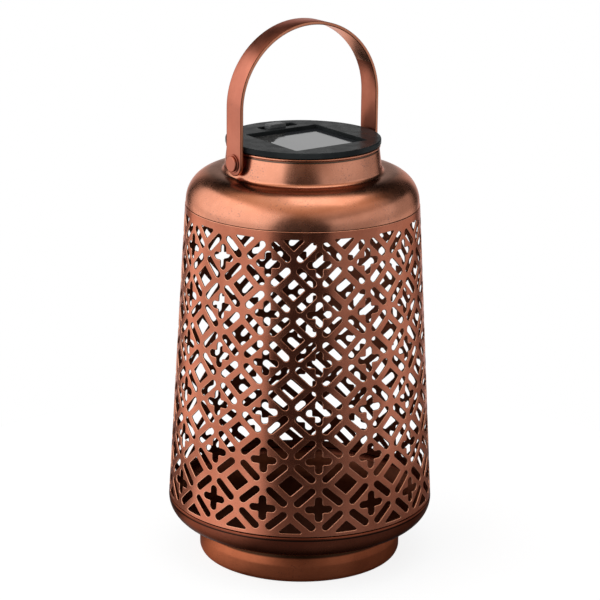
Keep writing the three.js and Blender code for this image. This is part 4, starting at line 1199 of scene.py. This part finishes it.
def screw(kind, number):
    """A pan-head screw, head down, with a cross in its head and a rolled thread on its shank."""
    head_radius, head_height, shank_radius = SCREW_SIZES[kind]
    node = f"{kind}_screw_{number}"
    lowest, highest = low(node), high(node)
    x, y, _ = middle(node)
    shell = Shell()
    seat = lowest.z + head_height
    edge = head_height * HEAD_ROUND_SHARE
    rings = arc((head_radius - edge, lowest.z + edge), edge, edge, -80, 0, 4)
    rings += [(head_radius, seat), (shank_radius, seat)]
    core = shank_radius * THREAD_CORE
    z = seat + THREAD_PITCH
    while z < highest.z - THREAD_END:
        rings += [(core, z), (shank_radius, z + THREAD_PITCH / 2)]
        z += THREAD_PITCH
    rings += [(core, highest.z - SCREW_TIP), (shank_radius * SCREW_TIP_SHARE, highest.z)]
    first, last = shell.tower([(circle(x, y, radius, SCREW_STEPS), z) for radius, z in rings])
    arm, half = head_radius * CROSS_ARM_SHARE, head_radius * CROSS_WIDTH_SHARE
    cross = []
    for quarter in range(4):
        turn = Matrix.Rotation(math.pi / 2 * quarter, 2)
        cross += [Vector((x, y)) + turn @ Vector(p) for p in ((arm, -half), (arm, half), (half, half))]
    roof = seat - head_height * CROSS_ROOF_SHARE
    cross_top, cross_low = shell.tower([(cross, roof), (cross, rings[0][1])])
    shell.cap(cross_top, up=False)
    shell.cap(first, [cross_low], up=False)
    shell.cap(last)
    return shell.piece(f"screw_{kind}_{number}", steel, "solar_module", "bare_steel", node)


foot_ring()
base_pan()
pierced_sleeve()
shoulder_neck()
handle_strap()
handle_rivets()
solar_lid()
solar_cell()
sealing_ring()
switch_knob()
module_housing()
battery_door()
led_dome()
for i in (1, 2, 3):
    screw("housing", i)
for i in (1, 2):
    screw("board", i)
    screw("door", i)


def dressed(name, material, width):
    """A CAD node kept as it is, with its material and softly rounded edges."""
    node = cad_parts[name]
    node.data.materials.clear()
    node.data.materials.append(material)
    bevel = node.modifiers.new("soft_edges", "BEVEL")
    bevel.width = width * MM
    bevel.segments = 2
    bevel.limit_method = "ANGLE"
    bevel.angle_limit = SMOOTH_ANGLE
    bevel.harden_normals = True


dressed("switch_body", steel, 0.15)
dressed("circuit_board", board_green, 0.1)
dressed("battery", battery_jacket, 0.12)
dressed("battery_contact_plus", steel, 0.08)
dressed("battery_contact_minus", steel, 0.08)
dressed("led", led_resin, 0.1)

# Camera, at the photograph's viewing angle, in metres
CAMERA_PLACE = Vector((-0.8033, -1.1040, 0.5682))
CAMERA_TARGET = Vector((-0.00082, 0.00059, 0.16021))
CAMERA_ROLL = math.radians(0.573)
CAMERA_LENS = 139.73
CAMERA_SENSOR = 36.0

# Lamps: name, angle to the right of the camera, distance and height, width and height of the
# soft box, and its radiance. Lengths are in metres, and all lamps aim at one height on the axis.
LAMPS = [
    ("soft_box_left", -82, 1.1, 0.30, 3.0, 1.8, 0.88),
    ("soft_box_left_back", -124, 1.15, -0.20, 0.8, 0.5, 0.36),
    ("soft_box_left_high", -74, 1.05, 0.66, 2.7, 1.22, 0.47),
    ("soft_box_right", 81, 1.2, 0.22, 3.4, 1.0, 0.42),
    ("soft_box_right_back", 110, 1.15, -0.22, 1.5, 0.5, 0.30),
    ("soft_box_right_high", 60, 1.15, 0.72, 2.1, 1.1, 0.24),
    ("soft_box_above", 95, 0.26, 1.35, 0.85, 0.85, 0.75),
]
LAMP_AIM = 0.13

# What gloss sees of the room above, by the upward part of the direction
CEILING = [
    (0.0, (0.025, 0.020, 0.018)),
    (0.34, (0.10, 0.075, 0.055)),
    (0.56, (0.32, 0.24, 0.17)),
    (0.74, (0.58, 0.43, 0.30)),
    (0.89, (0.85, 0.72, 0.56)),
    (1.0, (1.0, 0.96, 0.88)),
]
# Its dim sides: the angle, and the cosines where the dimming starts and is full
DIM_SIDES = [(146, 0.45, 0.72), (180, 0.38, 0.60), (-146, 0.52, 0.76)]
DIMMING = 0.9
# The white backdrop in gloss: height at 1 m behind, the cosines where it starts and is full, strength
WHITE_BEHIND = [(0.0, 0.88, 0.97, 0.85), (-0.45, 0.86, 0.94, 0.92)]
ROOM_LIGHT = 0.55
WHITE = (1.0, 1.0, 1.0)
FLOOR_RADIUS = 0.30
FLOOR_STEPS = 96
FLOOR_GREY = 0.25
FLOOR_LIFT = 0.82
# The side of the floor with the painted light that gloss sees, as an angle to the right of the camera
FLOOR_PAINTED_LIGHT_SIDE = -100
# Where the floor's white for gloss, a painted pool of light, starts and is full, toward its lit side and
# toward the camera
FLOOR_PAINTED_LIGHT_RANGE = (0.025, 0.10)
FLOOR_FRONT_RANGE = (-0.012, 0.022)

toward_camera = Vector((CAMERA_PLACE.x, CAMERA_PLACE.y, 0)).normalized()
camera_right = Vector((-toward_camera.y, toward_camera.x, 0))


def around(angle, distance, height):
    """A place at an angle to the right of the camera, seen from the object."""
    turn = math.radians(angle)
    flat = (toward_camera * math.cos(turn) + camera_right * math.sin(turn)) * distance
    return Vector((flat.x, flat.y, height))


def make_camera():
    data = bpy.data.cameras.new("camera")
    data.sensor_width = CAMERA_SENSOR
    data.lens = CAMERA_LENS
    camera = bpy.data.objects.new("camera", data)
    bpy.context.scene.collection.objects.link(camera)
    forward = (CAMERA_TARGET - CAMERA_PLACE).normalized()
    level = forward.cross(Vector((0, 0, 1))).normalized()
    upright = level.cross(forward)
    right = level * math.cos(CAMERA_ROLL) + upright * math.sin(CAMERA_ROLL)
    up = upright * math.cos(CAMERA_ROLL) - level * math.sin(CAMERA_ROLL)
    matrix = Matrix((right, up, -forward)).transposed().to_4x4()
    matrix.translation = CAMERA_PLACE
    camera.matrix_world = matrix
    bpy.context.scene.camera = camera


def make_lamps():
    """Soft boxes that face the object; the power of each gives the radiance asked for."""
    for name, angle, distance, height, width, tall, radiance in LAMPS:
        data = bpy.data.lights.new(name, "AREA")
        data.shape = "RECTANGLE"
        data.size, data.size_y = width, tall
        data.energy = radiance * math.pi * width * tall
        lamp = bpy.data.objects.new(name, data)
        bpy.context.scene.collection.objects.link(lamp)
        lamp.location = around(angle, distance, height)
        from_aim = lamp.location - Vector((0, 0, LAMP_AIM))
        lamp.rotation_euler = from_aim.to_track_quat("Z", "Y").to_euler()


def make_world():
    """White to the camera. Gloss sees white behind the object and a ceiling that fades in front."""
    world = bpy.data.worlds.new("studio")
    bpy.context.scene.world = world
    made = Nodes(world, "Generated")
    ray = made.tree.nodes.new("ShaderNodeLightPath").outputs
    room = made.ramp(made.height(), CEILING)
    for angle, start, end in DIM_SIDES:
        dimmed = made.spread(made.toward(around(angle, 1, 0)), start, end, 0.0, DIMMING)
        room = made.mixed(dimmed, room, (0, 0, 0))
    for height, start, end, strength in WHITE_BEHIND:
        behind = made.toward(around(180, 1, height).normalized())
        white = made.spread(behind, start, end, 0.0, strength, interpolation_type="SMOOTHSTEP")
        room = made.mixed(1.0, room, white, "LIGHTEN")
    polished = made.math("MAXIMUM", ray["Is Glossy Ray"], ray["Is Transmission Ray"])
    color = made.mixed(polished, (ROOM_LIGHT, ROOM_LIGHT, ROOM_LIGHT), room)
    color = made.mixed(ray["Is Camera Ray"], color, WHITE)
    made.feed(made.tree.nodes["Background"], {"Color": color, "Strength": 1.0})


def make_floor():
    """A round floor, lifted to white for the camera, with the shadow on it.

    Gloss sees it dark, with a painted pool of light, white on its left side toward the camera, that stands
    for the lamp on the left lighting it.
    """
    rim = [Vector((math.cos(a), math.sin(a), 0)) * FLOOR_RADIUS for a in turn_angles(FLOOR_STEPS)]
    mesh = bpy.data.meshes.new("floor")
    mesh.from_pydata(rim, [], [tuple(range(FLOOR_STEPS))])
    floor = bpy.data.objects.new("floor", mesh)
    bpy.context.scene.collection.objects.link(floor)
    made = Nodes(bpy.data.materials.new("floor_pale"))
    ray = made.tree.nodes.new("ShaderNodeLightPath").outputs
    # A painted pool of light that only gloss sees, on the floor's left side toward the camera
    light_painted = made.spread(made.toward(around(FLOOR_PAINTED_LIGHT_SIDE, 1, 0)), *FLOOR_PAINTED_LIGHT_RANGE)
    in_front = made.spread(made.toward(toward_camera), *FLOOR_FRONT_RANGE)
    seen = made.math("MAXIMUM", ray["Is Camera Ray"], ray["Is Transmission Ray"])
    gloss = made.times(ray["Is Glossy Ray"], made.times(in_front, light_painted))
    material = made.shade(
        Base_Color=(FLOOR_GREY, FLOOR_GREY, FLOOR_GREY),
        Roughness=0.9,
        Specular_IOR_Level=0.0,
        Emission_Color=WHITE,
        Emission_Strength=made.math("ADD", made.times(seen, FLOOR_LIFT), gloss),
    )
    mesh.materials.append(material)


make_camera()
make_lamps()
make_world()
make_floor()
bpy.context.scene.view_settings.view_transform = "Standard"
